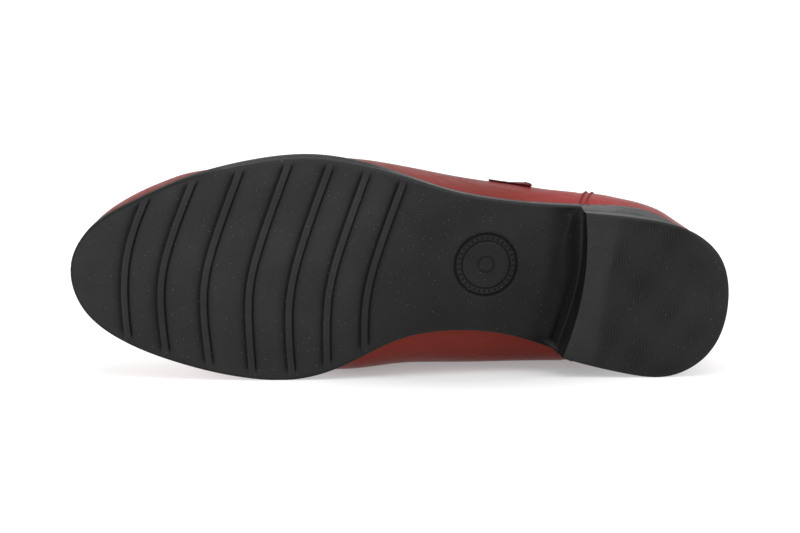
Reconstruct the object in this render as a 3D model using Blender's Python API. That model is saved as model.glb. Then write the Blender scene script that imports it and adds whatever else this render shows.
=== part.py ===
"""Left shoe: a low-cut, round-toed leather flat with an instep strap, lying on its inner side.

Everything is modelled standing, in the shoe's own frame and in millimetres: x runs from the
back of the heel to the toe, y to the outer side of the foot, z up from the ground. The empty
"shoe_frame" then lays the shoe down on its inner side and turns millimetres into metres.
"""

import math
from collections import namedtuple

import bmesh
import bpy
import numpy as np
from mathutils import Matrix

MM = 0.001

# Driving sizes, millimetres
SOLE_EDGE = 6.0          # height of the sole's side wall along waist and forefoot
SEAT_RISE = 4.0          # extra height of the feather line at the back of the heel
WAIST_HEIGHT = 17.0      # clear height under the waist, just in front of the heel
WAIST_FRONT = 152.0      # where the waist comes down to the ground
SPRING_START = 185.0     # where the toe starts to lift off the ground
TOE_SPRING = 11.0        # how far the toe tip is off the ground
BEVEL_WIDTH = 2.2        # chamfer round the sole's lower edge
BEVEL_HEIGHT = 1.7
HEEL_ROUND = 22.0        # length of the round end of the heel, where its lower edge is worn
LIFT_HEIGHT = 6.0        # thickness of the heel lift
LIFT_EDGE = 0.5          # chamfer round the lift's ground face
BLOCK_EDGE = 0.3         # the same round the heel block's underside
BREAST_EDGE = 0.55       # the same up the heel's hollow front face
LIFT_BACK_WIDTH = 3.6    # the same chamfer at the back, where it is wide and low
LIFT_BACK_HEIGHT = 1.2
GAP = 0.3                # clearance between neighbouring pieces
WALL = 2.0               # thickness of the leather upper with its lining
REACH = 0.6              # share of the way back to the feather line where the brow stands
FEATHER_INSET = 1.5      # how far the upper stands inside the sole's edge
INSOLE_INSET = 4.6       # how far the insole stands inside the sole's edge
INSOLE_THICKNESS = 2.6

Breast = namedtuple("Breast", "z outer_x middle_x inner_x")
# The breast is the hollow front face of the heel: where it stands at each height.
BREAST = (
    Breast(0.0, 56.0, 55.1, 61.4),
    Breast(6.0, 56.6, 57.0, 62.4),
    Breast(8.5, 56.8, 58.6, 62.7),
    Breast(11.5, 57.0, 60.9, 63.0),
    Breast(14.5, 57.4, 64.4, 63.6),
    Breast(16.3, 58.6, 70.4, 65.4),
)
BREAST_X = 56.5          # where the heel ends, midway across

# Channels across the forefoot
CHANNEL_DEPTH = 1.2
CHANNEL_WIDTH = 3.2
CUTTER_SIDES = (-48.0, 54.0)    # how far the cutting bars reach, clear of the sole's edges
CUTTER_BELOW = 3.0              # how far they stand out under the sole

# How the shoe lies: turned about the world's X and Y axes, then moved, degrees and millimetres
LAY_ROLL = 2.63
LAY_TURN = 3.85
LAY_SHIFT = (125.26, -40.77, 28.44)

Station = namedtuple("Station", "name x y collar_x collar_y collar_z lift lean brow drop tuck")
# One row for each section round the shoe, from the back of the heel along the outer side to
# the toe and back along the inner side. x, y: the sole's outline. collar: the top line.
# lift, lean: how high the wall first climbs and how far it leans out. brow, drop: how far the
# wall stands out and down from the collar before it closes in to it. tuck: how far the heel draws
# in from feather line to ground.
STATIONS = (
    Station("heel back", 0.8, -1.0, 5.2, -1.0, 79.0, 20.0, 3.6, 5.0, 20.0, -1.5),
    Station("outer heel corner", 5.2, 17.0, 10.5, 11.5, 77.2, 18.0, 1.6, 1.6, 19.0, -1.7),
    Station("outer heel quarter", 15.5, 24.2, 20.0, 18.6, 74.0, 17.0, 2.1, 0.6, 18.0, -2.6),
    Station("outer heel", 31.0, 30.5, 35.0, 25.4, 68.0, 15.0, 2.2, 2.9, 17.0, 0.1),
    Station("outer breast", 56.0, 31.8, 60.0, 29.2, 61.5, 13.0, 2.8, 5.2, 15.0, 0.1),
    Station("outer waist", 82.0, 32.3, 83.0, 31.0, 58.6, 12.0, 3.2, 4.8, 15.0, 0.0),
    Station("outer waist front", 108.0, 36.1, 104.0, 32.6, 58.0, 13.0, 3.8, 5.4, 14.0, 0.0),
    Station("outer joint back", 132.0, 43.2, 126.0, 31.2, 58.8, 16.0, 2.6, 4.0, 13.0, 0.0),
    Station("outer joint", 159.0, 47.4, 144.5, 23.8, 60.4, 20.0, -1.2, 1.5, 12.0, 0.0),
    Station("outer ball", 183.0, 44.1, 152.5, 17.0, 61.0, 21.0, -1.5, 1.0, 12.0, 0.0),
    Station("outer toe side", 208.0, 35.8, 156.4, 10.5, 61.0, 23, 4.4, 7, 14, 0.0),
    Station("outer toe", 229.5, 24.4, 158.0, 5.0, 61.0, 25, 7.5, 14, 16, 0.0),
    Station("outer toe corner", 244.0, 13.7, 158.6, 1.0, 61.0, 26, 7.0, 14, 18, 0.0),
    Station("toe tip", 251.5, -2.3, 158.8, -3.0, 61.0, 19.5, 1.5, 0.0, 17.5, 0.0),
    Station("inner toe corner", 246.2, -18.0, 158.5, -7.5, 61.0, 20.0, 1.3, 0.0, 16.5, 0.0),
    Station("inner toe", 231.0, -28.7, 157.4, -11.5, 61.0, 21.0, 0.6, 1.0, 13.5, 0.0),
    Station("inner toe side", 209.0, -35.5, 155.0, -16.3, 61.0, 22.0, 0.3, 1.5, 11.0, 0.0),
    Station("inner ball", 182.0, -39.8, 150.8, -21.6, 61.0, 23.0, 0.0, 3.0, 10.0, 0.0),
    Station("inner joint", 161.0, -39.0, 143.5, -26.8, 60.7, 20.0, 3.0, 4.5, 12.0, 0.0),
    Station("inner joint back", 143.0, -32.2, 133.0, -31.2, 60.2, 10.5, 12.8, 10.5, 18.0, 0.0),
    Station("inner waist front", 124.0, -22.3, 118.5, -33.5, 59.7, 10.0, 18.0, 16.0, 22.0, 0.0),
    Station("inner waist", 102.0, -18.4, 100.5, -33.8, 59.2, 8.5, 17.0, 18.7, 22.0, 0.0),
    Station("inner waist back", 80.0, -20.2, 81.0, -33.0, 60.0, 8.0, 15.3, 16.2, 22.0, 0.0),
    Station("inner breast", 58.0, -26.4, 61.0, -30.6, 62.6, 9.0, 9.4, 10.8, 22.0, 0.8),
    Station("inner heel", 38.0, -30.8, 42.0, -27.2, 67.0, 12.0, 3.4, 5.0, 19.0, 1.55),
    Station("inner heel quarter", 20.0, -30.2, 24.0, -22.4, 72.5, 16.0, 1.5, 2.0, 18.0, 0.7),
    Station("inner heel corner", 6.8, -20.7, 11.5, -13.2, 77.0, 18.0, 2.0, 2.6, 19.0, -0.65),
)

Channel = namedtuple("Channel", "bend_x bend_y lean spread ease")
# Each channel is two nearly straight legs joined by a soft bend. lean: its slope at the bend.
# spread: how much the legs turn from that slope, towards the heel. ease: how soft the bend is.
CHANNELS = (
    Channel(229.8, 3.2, -0.123, 0.380, 24.9),
    Channel(215.9, -4.3, -0.063, 0.309, 17.7),
    Channel(199.4, -4.9, -0.057, 0.277, 15.8),
    Channel(182.0, -3.9, -0.081, 0.234, 14.0),
    Channel(166.5, -6.6, -0.070, 0.257, 19.4),
    Channel(151.7, -4.4, -0.100, 0.216, 16.4),
    Channel(137.3, -5.7, -0.095, 0.225, 15.8),
)

# The strap over the instep
STRAP_X = 83.4           # middle of the strap, from the back of the heel
STRAP_WIDTH = 19.0
STRAP_THICKNESS = 1.6
STRAP_OUTER_END = 0.62   # where the outer end stops, from feather line 0 to collar 1
STRAP_SLANT = 0.06       # how much higher its front corner ends than the middle, and lower its rear
STRAP_INNER_END = 0.70   # where the inner end stops, inside the inner quarter
STRAP_ARCH = 33.0        # how strongly the strap arches up from the collar

# How finely the faces are cut
TABLE_STEPS = 6000       # places round the sole in the look-up of distance against x
SOLE_CELLS = 8           # across the sole
HEEL_STEPS = 12          # along the heel
FRONT_STEPS = 40         # along waist and forefoot
BEVEL_STEPS = 4          # steps in which the bevel grows to its full width behind the breast
BAR_STEPS = 22           # along a channel
UPPER_AROUND = 92        # round the upper
UPPER_ROWS = 11          # from feather line to collar
INSOLE_CELLS = 6         # across the insole
INSOLE_STEPS = 44        # along the insole
STRAP_CELLS = 4          # across the strap
STRAP_OUTER_STEPS = 7    # along the strap on the outer quarter
STRAP_ARCH_STEPS = 16    # over the instep
STRAP_INNER_STEPS = 5    # inside the inner quarter
NUDGE = 0.05             # small step for directions along the outline, millimetres
RISE = 0.002             # small step for directions up the wall
SHARP_ANGLE = 35.0       # edges bent further than this stay sharp, degrees


# ---------------------------------------------------------------- curves and the shoe's form

def closed_spline(knots, period, rows):
    """Return a function of distance that runs smoothly round a closed ring of rows."""
    rows = np.asarray(rows, float)
    count = len(rows)
    gaps = np.diff(np.append(knots, knots[0] + period))
    slopes = (np.roll(rows, -1, axis=0) - rows) / gaps[:, None]
    matrix = np.zeros((count, count))
    for i in range(count):
        matrix[i, i - 1] += gaps[i - 1]
        matrix[i, i] += 2.0 * (gaps[i - 1] + gaps[i])
        matrix[i, (i + 1) % count] += gaps[i]
    bends = np.linalg.solve(matrix, 6.0 * (slopes - np.roll(slopes, 1, axis=0)))

    def at(distance):
        distance = np.mod(np.atleast_1d(distance).astype(float), period)
        i = np.searchsorted(knots, distance, side="right") - 1
        j = (i + 1) % count
        gap = gaps[i][:, None]
        a = (knots[i] + gaps[i] - distance)[:, None] / gap
        b = 1.0 - a
        curve = ((a ** 3 - a) * bends[i] + (b ** 3 - b) * bends[j]) * gap ** 2 / 6.0
        return a * rows[i] + b * rows[j] + curve

    return at


def smooth_step(t):
    t = np.clip(t, 0.0, 1.0)
    return t * t * (3.0 - 2.0 * t)


OUTLINE_ROWS = np.array([(s.x, s.y) for s in STATIONS])
CHORDS = np.linalg.norm(np.roll(OUTLINE_ROWS, -1, axis=0) - OUTLINE_ROWS, axis=1)
KNOTS = np.concatenate(([0.0], np.cumsum(CHORDS)[:-1]))
PERIMETER = CHORDS.sum()
FORM = closed_spline(KNOTS, PERIMETER, [s[1:] for s in STATIONS])
TUCK_COLUMN = Station._fields.index("tuck") - 1
TIP_X = max(s.x for s in STATIONS)


def outline_at(distance):
    """Outline point and outward normal, in plan, at a distance round the sole."""
    here = FORM(distance)[:, :2]
    ahead = FORM(np.asarray(distance) + NUDGE)[:, :2]
    behind = FORM(np.asarray(distance) - NUDGE)[:, :2]
    along = ahead - behind
    along /= np.linalg.norm(along, axis=1)[:, None]
    normal = np.column_stack((-along[:, 1], along[:, 0]))
    return here, normal


def waist_height(x):
    """Height of the sole's underside in front of the heel."""
    x = np.asarray(x, float)
    down = WAIST_HEIGHT * smooth_step((WAIST_FRONT - x) / (WAIST_FRONT - BREAST_X)) ** 0.9
    spring = TOE_SPRING * (np.clip(x - SPRING_START, 0.0, None) / (TIP_X - SPRING_START)) ** 1.9
    return down + spring


def feather_height(x):
    """Height of the line where the upper meets the sole."""
    x = np.asarray(x, float)
    seat = SEAT_RISE * smooth_step((BREAST_X - x) / BREAST_X)
    return waist_height(np.maximum(x, BREAST_X)) + SOLE_EDGE + seat


def wall_at(distance, v):
    """Outer face of the upper: distance round the sole, v from feather line 0 to collar 1."""
    row = FORM(distance)
    edge, normal = outline_at(distance)
    collar = row[:, 2:5]
    lift, lean, brow, drop = row[:, 5:6], row[:, 6:7], row[:, 7:8], row[:, 8:9]
    foot = np.column_stack((edge - normal * FEATHER_INSET, feather_height(edge[:, 0]) + GAP))
    outward = np.column_stack((normal, np.zeros(len(normal))))
    upward = np.array([[0.0, 0.0, 1.0]])
    level = np.array([[1.0, 1.0, 0.0]])
    low = foot + outward * lean + upward * lift
    high = collar + (foot - collar) * level * REACH + outward * brow - upward * drop
    v = np.atleast_1d(v)[None, :, None]
    foot, low, high, collar = (p[:, None, :] for p in (foot, low, high, collar))
    w = 1.0 - v
    return w ** 3 * foot + 3 * w * w * v * low + 3 * w * v * v * high + v ** 3 * collar


def wall_normal(distance, v):
    """Outward unit normal of the upper's outer face."""
    round_it = wall_at(np.asarray(distance) + NUDGE, v) - wall_at(np.asarray(distance) - NUDGE, v)
    up_it = wall_at(distance, np.asarray(v) + RISE) - wall_at(distance, np.asarray(v) - RISE)
    normal = np.cross(up_it, round_it)
    return normal / np.linalg.norm(normal, axis=2)[:, :, None]


# ---------------------------------------------------------------- making meshes

def new_object(name, points, faces, material, lay):
    """Make one closed object from points in millimetres and lay it down with the shoe."""
    mesh = bpy.data.meshes.new(name)
    mesh.from_pydata([tuple(MM * float(c) for c in p) for p in points], [], faces)
    shape = bmesh.new()
    shape.from_mesh(mesh)
    bmesh.ops.remove_doubles(shape, verts=shape.verts, dist=1e-6)
    bmesh.ops.dissolve_degenerate(shape, edges=shape.edges, dist=1e-7)
    bmesh.ops.recalc_face_normals(shape, faces=shape.faces)
    shape.to_mesh(mesh)
    shape.free()
    mesh.shade_smooth()
    mesh.set_sharp_from_angle(angle=math.radians(SHARP_ANGLE))
    mesh.materials.append(material)
    piece = bpy.data.objects.new(name, mesh)
    bpy.context.scene.collection.objects.link(piece)
    piece.parent = lay
    return piece


def new_material(name, colour, roughness):
    material = bpy.data.materials.new(name)
    material.use_nodes = True
    shader = material.node_tree.nodes["Principled BSDF"]
    shader.inputs["Base Color"].default_value = (*colour, 1.0)
    shader.inputs["Roughness"].default_value = roughness
    shader.inputs["Metallic"].default_value = 0.0
    return material


def loft(rings, cap_start=False, cap_end=False):
    """Join closed rings of equal length, one after the other, into points and faces."""
    count = len(rings[0])
    points = np.concatenate(rings)
    faces = []
    for i in range(len(rings) - 1):
        for j in range(count):
            k = (j + 1) % count
            faces.append((i * count + j, i * count + k, (i + 1) * count + k, (i + 1) * count + j))
    if cap_start:
        faces += flat_cap(0, count)
    if cap_end:
        faces += flat_cap((len(rings) - 1) * count, count)
    return points, faces


def flat_cap(first, count):
    """Close a ring whose second half runs back over its first half, with a strip of quads."""
    faces = []
    for j in range(count // 2 - 1):
        faces.append((first + j, first + j + 1, first + count - 2 - j, first + count - 1 - j))
    return faces


# ---------------------------------------------------------------- the sole

def edge_tables():
    """Distance round the sole against x, along its outer and then its inner side."""
    distance = np.linspace(0.0, PERIMETER, TABLE_STEPS, endpoint=False)
    distance += distance[np.argmin(FORM(distance)[:, 0])]
    distance = np.append(distance, distance[0] + PERIMETER)
    x = FORM(distance)[:, 0]
    toe = int(np.argmax(x))
    return (x[:toe + 1], distance[:toe + 1]), (x[toe:][::-1], distance[toe:][::-1])


OUTER_TABLE, INNER_TABLE = edge_tables()
HEEL_TIP_X = OUTER_TABLE[0][0]
TOE_TIP_X = OUTER_TABLE[0][-1]


def rung(outer_x, middle_x, inner_x, inset, cells=SOLE_CELLS, tuck_share=0.0):
    """Points across the sole in plan, from its outer to its inner edge, bowed at the middle."""
    ends = []
    for x, (xs, distances) in ((outer_x, OUTER_TABLE), (inner_x, INNER_TABLE)):
        distance = np.interp(x, xs, distances)
        edge, normal = outline_at(distance)
        tuck = FORM(distance)[0, TUCK_COLUMN] * tuck_share
        ends.append(edge[0] - normal[0] * (inset + tuck))
    t = np.linspace(0.0, 1.0, cells + 1)[:, None]
    line = (1.0 - t) * ends[0] + t * ends[1]
    line[:, 0] += (4.0 * t * (1.0 - t))[:, 0] * (middle_x - (outer_x + inner_x) / 2.0)
    return line


def tuck_share(z):
    """Share of the heel's tuck that its wall has reached at a height."""
    return 1.0 - z / (WAIST_HEIGHT + SOLE_EDGE)


def with_height(line, z):
    return np.column_stack((line, np.broadcast_to(z, len(line))))


def breast_at(z):
    heights = [b.z for b in BREAST]
    return [np.interp(z, heights, [getattr(b, side) for b in BREAST])
            for side in ("outer_x", "middle_x", "inner_x")]


def heel_rungs(front):
    """Rungs from the back of the heel to a front rung, closer together at the back."""
    for step in range(HEEL_STEPS + 1):
        share = 1.0 - math.cos(step / HEEL_STEPS * math.pi / 2.0)
        yield [HEEL_TIP_X + (x - HEEL_TIP_X) * share for x in front]


def sole_section(across, under, share, bevel_width, bevel_height):
    """One ring round the sole: top from outer to inner edge, then the underside back."""
    top = rung(*across, 0.0)
    top = with_height(top, feather_height(top[:, 0]))
    side = rung(*across, 0.0, tuck_share=share)
    base = rung(*across, bevel_width, tuck_share=share)[::-1]
    side_z = under(side[:, 0]) + bevel_height
    base_z = under(base[:, 0])
    return np.concatenate((top, with_height(side[-1:], side_z[-1:]), with_height(base, base_z),
                           with_height(side[:1], side_z[:1])))


def make_outsole(material, lay):
    """Unit sole: heel block, hollow breast, waist and forefoot with its arched channels."""
    block = LIFT_HEIGHT + GAP
    rings = []
    for across in heel_rungs(breast_at(block)):
        rings.append(sole_section(across, lambda x: np.full(len(x), block), tuck_share(block),
                                  BLOCK_EDGE, BLOCK_EDGE))
    for row in BREAST[2:-1]:
        rings.append(sole_section(row[1:], lambda x: np.full(len(x), row.z), tuck_share(row.z),
                                  BREAST_EDGE, BREAST_EDGE))
    front = breast_at(BREAST[-1].z)
    for step in range(FRONT_STEPS + 1):
        share = math.sin(step / FRONT_STEPS * math.pi / 2.0)
        across = [x + (TOE_TIP_X - x) * share for x in front]
        grow = smooth_step(step / BEVEL_STEPS)
        width = BREAST_EDGE + (BEVEL_WIDTH - BREAST_EDGE) * grow
        height = BREAST_EDGE + (BEVEL_HEIGHT - BREAST_EDGE) * grow
        rings.append(sole_section(across, waist_height, 0.0, width, height))
    points, faces = loft(rings)
    outsole = new_object("outsole", points, faces, material, lay)
    cutter = make_channel_cutter(material, lay)
    cut = outsole.modifiers.new("channels", "BOOLEAN")
    cut.operation = "DIFFERENCE"
    cut.solver = "EXACT"
    cut.object = cutter
    return outsole


def make_channel_cutter(material, lay):
    """Curved bars that cut the channels; each follows the sole's underside."""
    half = CHANNEL_WIDTH / 2.0
    corners = ((-half, CHANNEL_DEPTH), (half, CHANNEL_DEPTH), (half, -CUTTER_BELOW),
               (-half, -CUTTER_BELOW))
    points = []
    faces = []
    for channel in CHANNELS:
        rings = []
        for y in np.linspace(*CUTTER_SIDES, BAR_STEPS + 1):
            across = y - channel.bend_y
            reach = math.hypot(across, channel.ease)
            x = channel.bend_x + channel.lean * across - channel.spread * (reach - channel.ease)
            slope = channel.lean - channel.spread * across / reach
            forward = np.array([1.0, -slope]) / math.hypot(1.0, slope)
            ring = []
            for side, depth in corners:
                place = np.array([x, y]) + forward * side
                ring.append((*place, float(waist_height(place[0])) + depth))
            rings.append(np.array(ring))
        bar_points, bar_faces = loft(rings, cap_start=True, cap_end=True)
        faces += [tuple(i + len(points) for i in face) for face in bar_faces]
        points += list(bar_points)
    cutter = new_object("channel_cutter", points, faces, material, lay)
    cutter.hide_render = True
    cutter.display_type = "WIRE"
    return cutter


def make_heel_lift(material, lay):
    """The lift under the heel block, with its flat ground face and its worn-round back edge."""
    rings = []
    for low, high in zip(heel_rungs(breast_at(0.0)), heel_rungs(breast_at(LIFT_HEIGHT))):
        back = 1.0 - smooth_step(low[1] / HEEL_ROUND)
        edge_height = LIFT_EDGE + (LIFT_BACK_HEIGHT - LIFT_EDGE) * back
        edge_width = LIFT_EDGE + (LIFT_BACK_WIDTH - LIFT_EDGE) * back
        top = rung(*high, 0.0, tuck_share=tuck_share(LIFT_HEIGHT))
        side = rung(*low, 0.0, tuck_share=tuck_share(edge_height))
        base = rung(*low, edge_width, tuck_share=tuck_share(0.0))[::-1]
        rings.append(np.concatenate((with_height(top, LIFT_HEIGHT),
                                     with_height(side[-1:], edge_height), with_height(base, 0.0),
                                     with_height(side[:1], edge_height))))
    points, faces = loft(rings, cap_end=True)
    return new_object("heel_lift", points, faces, material, lay)


# ---------------------------------------------------------------- the upper and what is in it

def make_upper(material, lay):
    """One hollow leather shell, open at the collar and underneath."""
    distance = np.arange(UPPER_AROUND) / UPPER_AROUND * PERIMETER
    v = np.linspace(0.0, 1.0, UPPER_ROWS + 1)
    outer = wall_at(distance, v)
    inner = outer - wall_normal(distance, v) * WALL
    inner[:, 0, 2] = np.maximum(inner[:, 0, 2], outer[:, 0, 2])
    rings = [np.concatenate((out, back[::-1])) for out, back in zip(outer, inner)]
    points, faces = loft(rings + rings[:1])
    return new_object("upper", points, faces, material, lay)


def make_insole(material, lay):
    """The insole, lying on the outsole inside the upper."""
    rings = []
    for step in range(INSOLE_STEPS + 1):
        share = (1.0 - math.cos(step / INSOLE_STEPS * math.pi)) / 2.0
        x = HEEL_TIP_X + (TOE_TIP_X - HEEL_TIP_X) * share
        line = rung(x, x, x, INSOLE_INSET, INSOLE_CELLS)
        floor = feather_height(line[:, 0]) + GAP
        rings.append(np.concatenate((with_height(line, floor + INSOLE_THICKNESS),
                                     with_height(line[::-1], floor[::-1]))))
    points, faces = loft(rings)
    return new_object("insole", points, faces, material, lay)


def make_strap(material, lay):
    """The strap: flat on the outer quarter, over the instep, and down inside the inner quarter."""
    outer_at = np.interp(STRAP_X, *OUTER_TABLE)
    inner_at = np.interp(STRAP_X, *INNER_TABLE)
    columns = []
    for offset in np.linspace(-STRAP_WIDTH / 2.0, STRAP_WIDTH / 2.0, STRAP_CELLS + 1):
        low_end = STRAP_OUTER_END + STRAP_SLANT * offset / (STRAP_WIDTH / 2.0)
        v = np.linspace(low_end, 1.0, STRAP_OUTER_STEPS + 1)
        outer_leg = wall_at(outer_at + offset, v)[0] + wall_normal(outer_at + offset, v)[0] * GAP
        v = np.linspace(1.0, STRAP_INNER_END, STRAP_INNER_STEPS + 1)
        inner_leg = wall_at(inner_at - offset, v)[0]
        inner_leg = inner_leg - wall_normal(inner_at - offset, v)[0] * (WALL + GAP + STRAP_THICKNESS)
        start, end = outer_leg[-1], inner_leg[0]
        up_start = outer_leg[-1] - outer_leg[-2]
        up_end = inner_leg[0] - inner_leg[1]
        low = start + up_start / np.linalg.norm(up_start) * STRAP_ARCH
        high = end + up_end / np.linalg.norm(up_end) * STRAP_ARCH
        t = np.linspace(0.0, 1.0, STRAP_ARCH_STEPS + 1)[1:-1, None]
        w = 1.0 - t
        arch = w ** 3 * start + 3 * w * w * t * low + 3 * w * t * t * high + t ** 3 * end
        columns.append(np.concatenate((outer_leg, arch, inner_leg)))
    under = np.array(columns).transpose(1, 0, 2)
    along = np.gradient(under, axis=0)
    across = np.gradient(under, axis=1)
    normal = np.cross(along, across)
    normal /= np.linalg.norm(normal, axis=2)[:, :, None]
    over = under + normal * STRAP_THICKNESS
    rings = [np.concatenate((under[i], over[i][::-1])) for i in range(len(under))]
    points, faces = loft(rings, cap_start=True, cap_end=True)
    return new_object("strap", points, faces, material, lay)


# ---------------------------------------------------------------- the whole shoe

def lay_down():
    """The frame that lays the standing shoe on its inner side, sole towards -Y."""
    lay = bpy.data.objects.new("shoe_frame", None)
    bpy.context.scene.collection.objects.link(lay)
    on_side = Matrix(((-1.0, 0.0, 0.0), (0.0, 0.0, 1.0), (0.0, 1.0, 0.0))).to_4x4()
    turn = Matrix.Rotation(math.radians(LAY_TURN), 4, "Y")
    roll = Matrix.Rotation(math.radians(LAY_ROLL), 4, "X")
    shift = Matrix.Translation([MM * c for c in LAY_SHIFT])
    lay.matrix_world = shift @ roll @ turn @ on_side
    return lay


def main():
    for thing in list(bpy.data.objects):
        bpy.data.objects.remove(thing)
    lay = lay_down()
    rubber = new_material("sole_rubber", (0.035, 0.035, 0.037), 0.6)
    leather = new_material("red_leather", (0.19, 0.035, 0.035), 0.4)
    board = new_material("sock_lining", (0.42, 0.30, 0.22), 0.7)
    strap_leather = new_material("strap_leather", (0.13, 0.025, 0.025), 0.42)
    make_outsole(rubber, lay)
    make_heel_lift(rubber, lay)
    make_upper(leather, lay)
    make_insole(board, lay)
    make_strap(strap_leather, lay)


main()
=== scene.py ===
"""Looks of the left strap flat: fine rubber sole, leather upper, lining, strap and stitching.

Shapes are worked out in the shoe's own standing frame, in millimetres: x runs from the back of
the heel to the toe, y to the outer side of the foot, z up from the ground. shoe_to_world() then
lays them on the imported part, in metres. A distance round the sole runs along its outline. Where a
constant is a pair for ramp() or fall(), it says where that starts or ends, and how long it is.
"""

import math
from collections import namedtuple

import bpy
import numpy as np
from mathutils import Matrix, Vector


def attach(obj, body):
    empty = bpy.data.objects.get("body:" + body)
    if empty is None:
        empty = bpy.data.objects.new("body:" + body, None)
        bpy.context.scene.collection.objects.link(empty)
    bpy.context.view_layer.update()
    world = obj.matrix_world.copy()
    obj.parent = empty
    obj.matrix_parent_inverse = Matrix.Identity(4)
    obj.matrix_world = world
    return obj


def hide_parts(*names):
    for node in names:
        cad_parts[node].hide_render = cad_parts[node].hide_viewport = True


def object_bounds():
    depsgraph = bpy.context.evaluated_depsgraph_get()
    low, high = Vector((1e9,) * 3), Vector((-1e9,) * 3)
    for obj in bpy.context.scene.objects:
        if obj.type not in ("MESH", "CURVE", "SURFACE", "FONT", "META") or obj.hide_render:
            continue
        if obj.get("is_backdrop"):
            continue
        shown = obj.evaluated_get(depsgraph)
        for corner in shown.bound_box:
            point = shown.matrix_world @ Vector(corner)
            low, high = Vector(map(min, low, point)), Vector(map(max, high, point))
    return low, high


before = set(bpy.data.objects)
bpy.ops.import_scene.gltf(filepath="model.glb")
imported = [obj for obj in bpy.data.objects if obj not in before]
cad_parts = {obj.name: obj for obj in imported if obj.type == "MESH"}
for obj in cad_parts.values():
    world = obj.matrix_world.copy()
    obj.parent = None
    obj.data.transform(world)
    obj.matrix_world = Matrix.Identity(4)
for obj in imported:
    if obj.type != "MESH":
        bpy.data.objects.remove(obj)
cad_low, cad_high = (Vector(corner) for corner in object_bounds())

MM = 0.001
BODY = "root"
FLOOR_CLEARANCE = 0.00003

# ------------------------------------------------------------ the form, as in the part's source

SOLE_EDGE = 6.0            # height of the sole's edge
SEAT_RISE = 4.0            # how much higher it is at the back of the heel
WAIST_HEIGHT = 17.0
WAIST_FRONT = 152.0
WAIST_POWER = 0.9
SPRING_START = 185.0
SPRING_POWER = 1.9
TOE_SPRING = 11.0
HEEL_ROUND = 22.0
LIFT_HEIGHT = 6.0
GAP = 0.3
WALL = 2.0                 # thickness of the upper
REACH = 0.6
FEATHER_INSET = 1.5
BREAST_X = 56.5

Breast = namedtuple("Breast", "z outer_x middle_x inner_x")
# The heel's front face at some heights: on the outer side, in the middle, on the inner side.
BREAST = [Breast(*row) for row in (
    (0.0, 56.0, 55.1, 61.2), (6.0, 56.8, 57.0, 64.4), (8.5, 57.2, 58.6, 66.0),
    (11.5, 57.4, 60.7, 67.3), (13.2, 57.5, 62.6, 69.0), (14.6, 57.8, 64.8, 71.2),
    (15.6, 58.5, 67.4, 74.2), (16.3, 59.8, 70.9, 79.0),
)]

LAY_ROLL = 2.63
LAY_TURN = 3.85
LAY_SHIFT = (125.26, -40.77, 28.44)

Station = namedtuple("Station", "name x y collar_x collar_y collar_z lift lean brow drop tuck")
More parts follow.
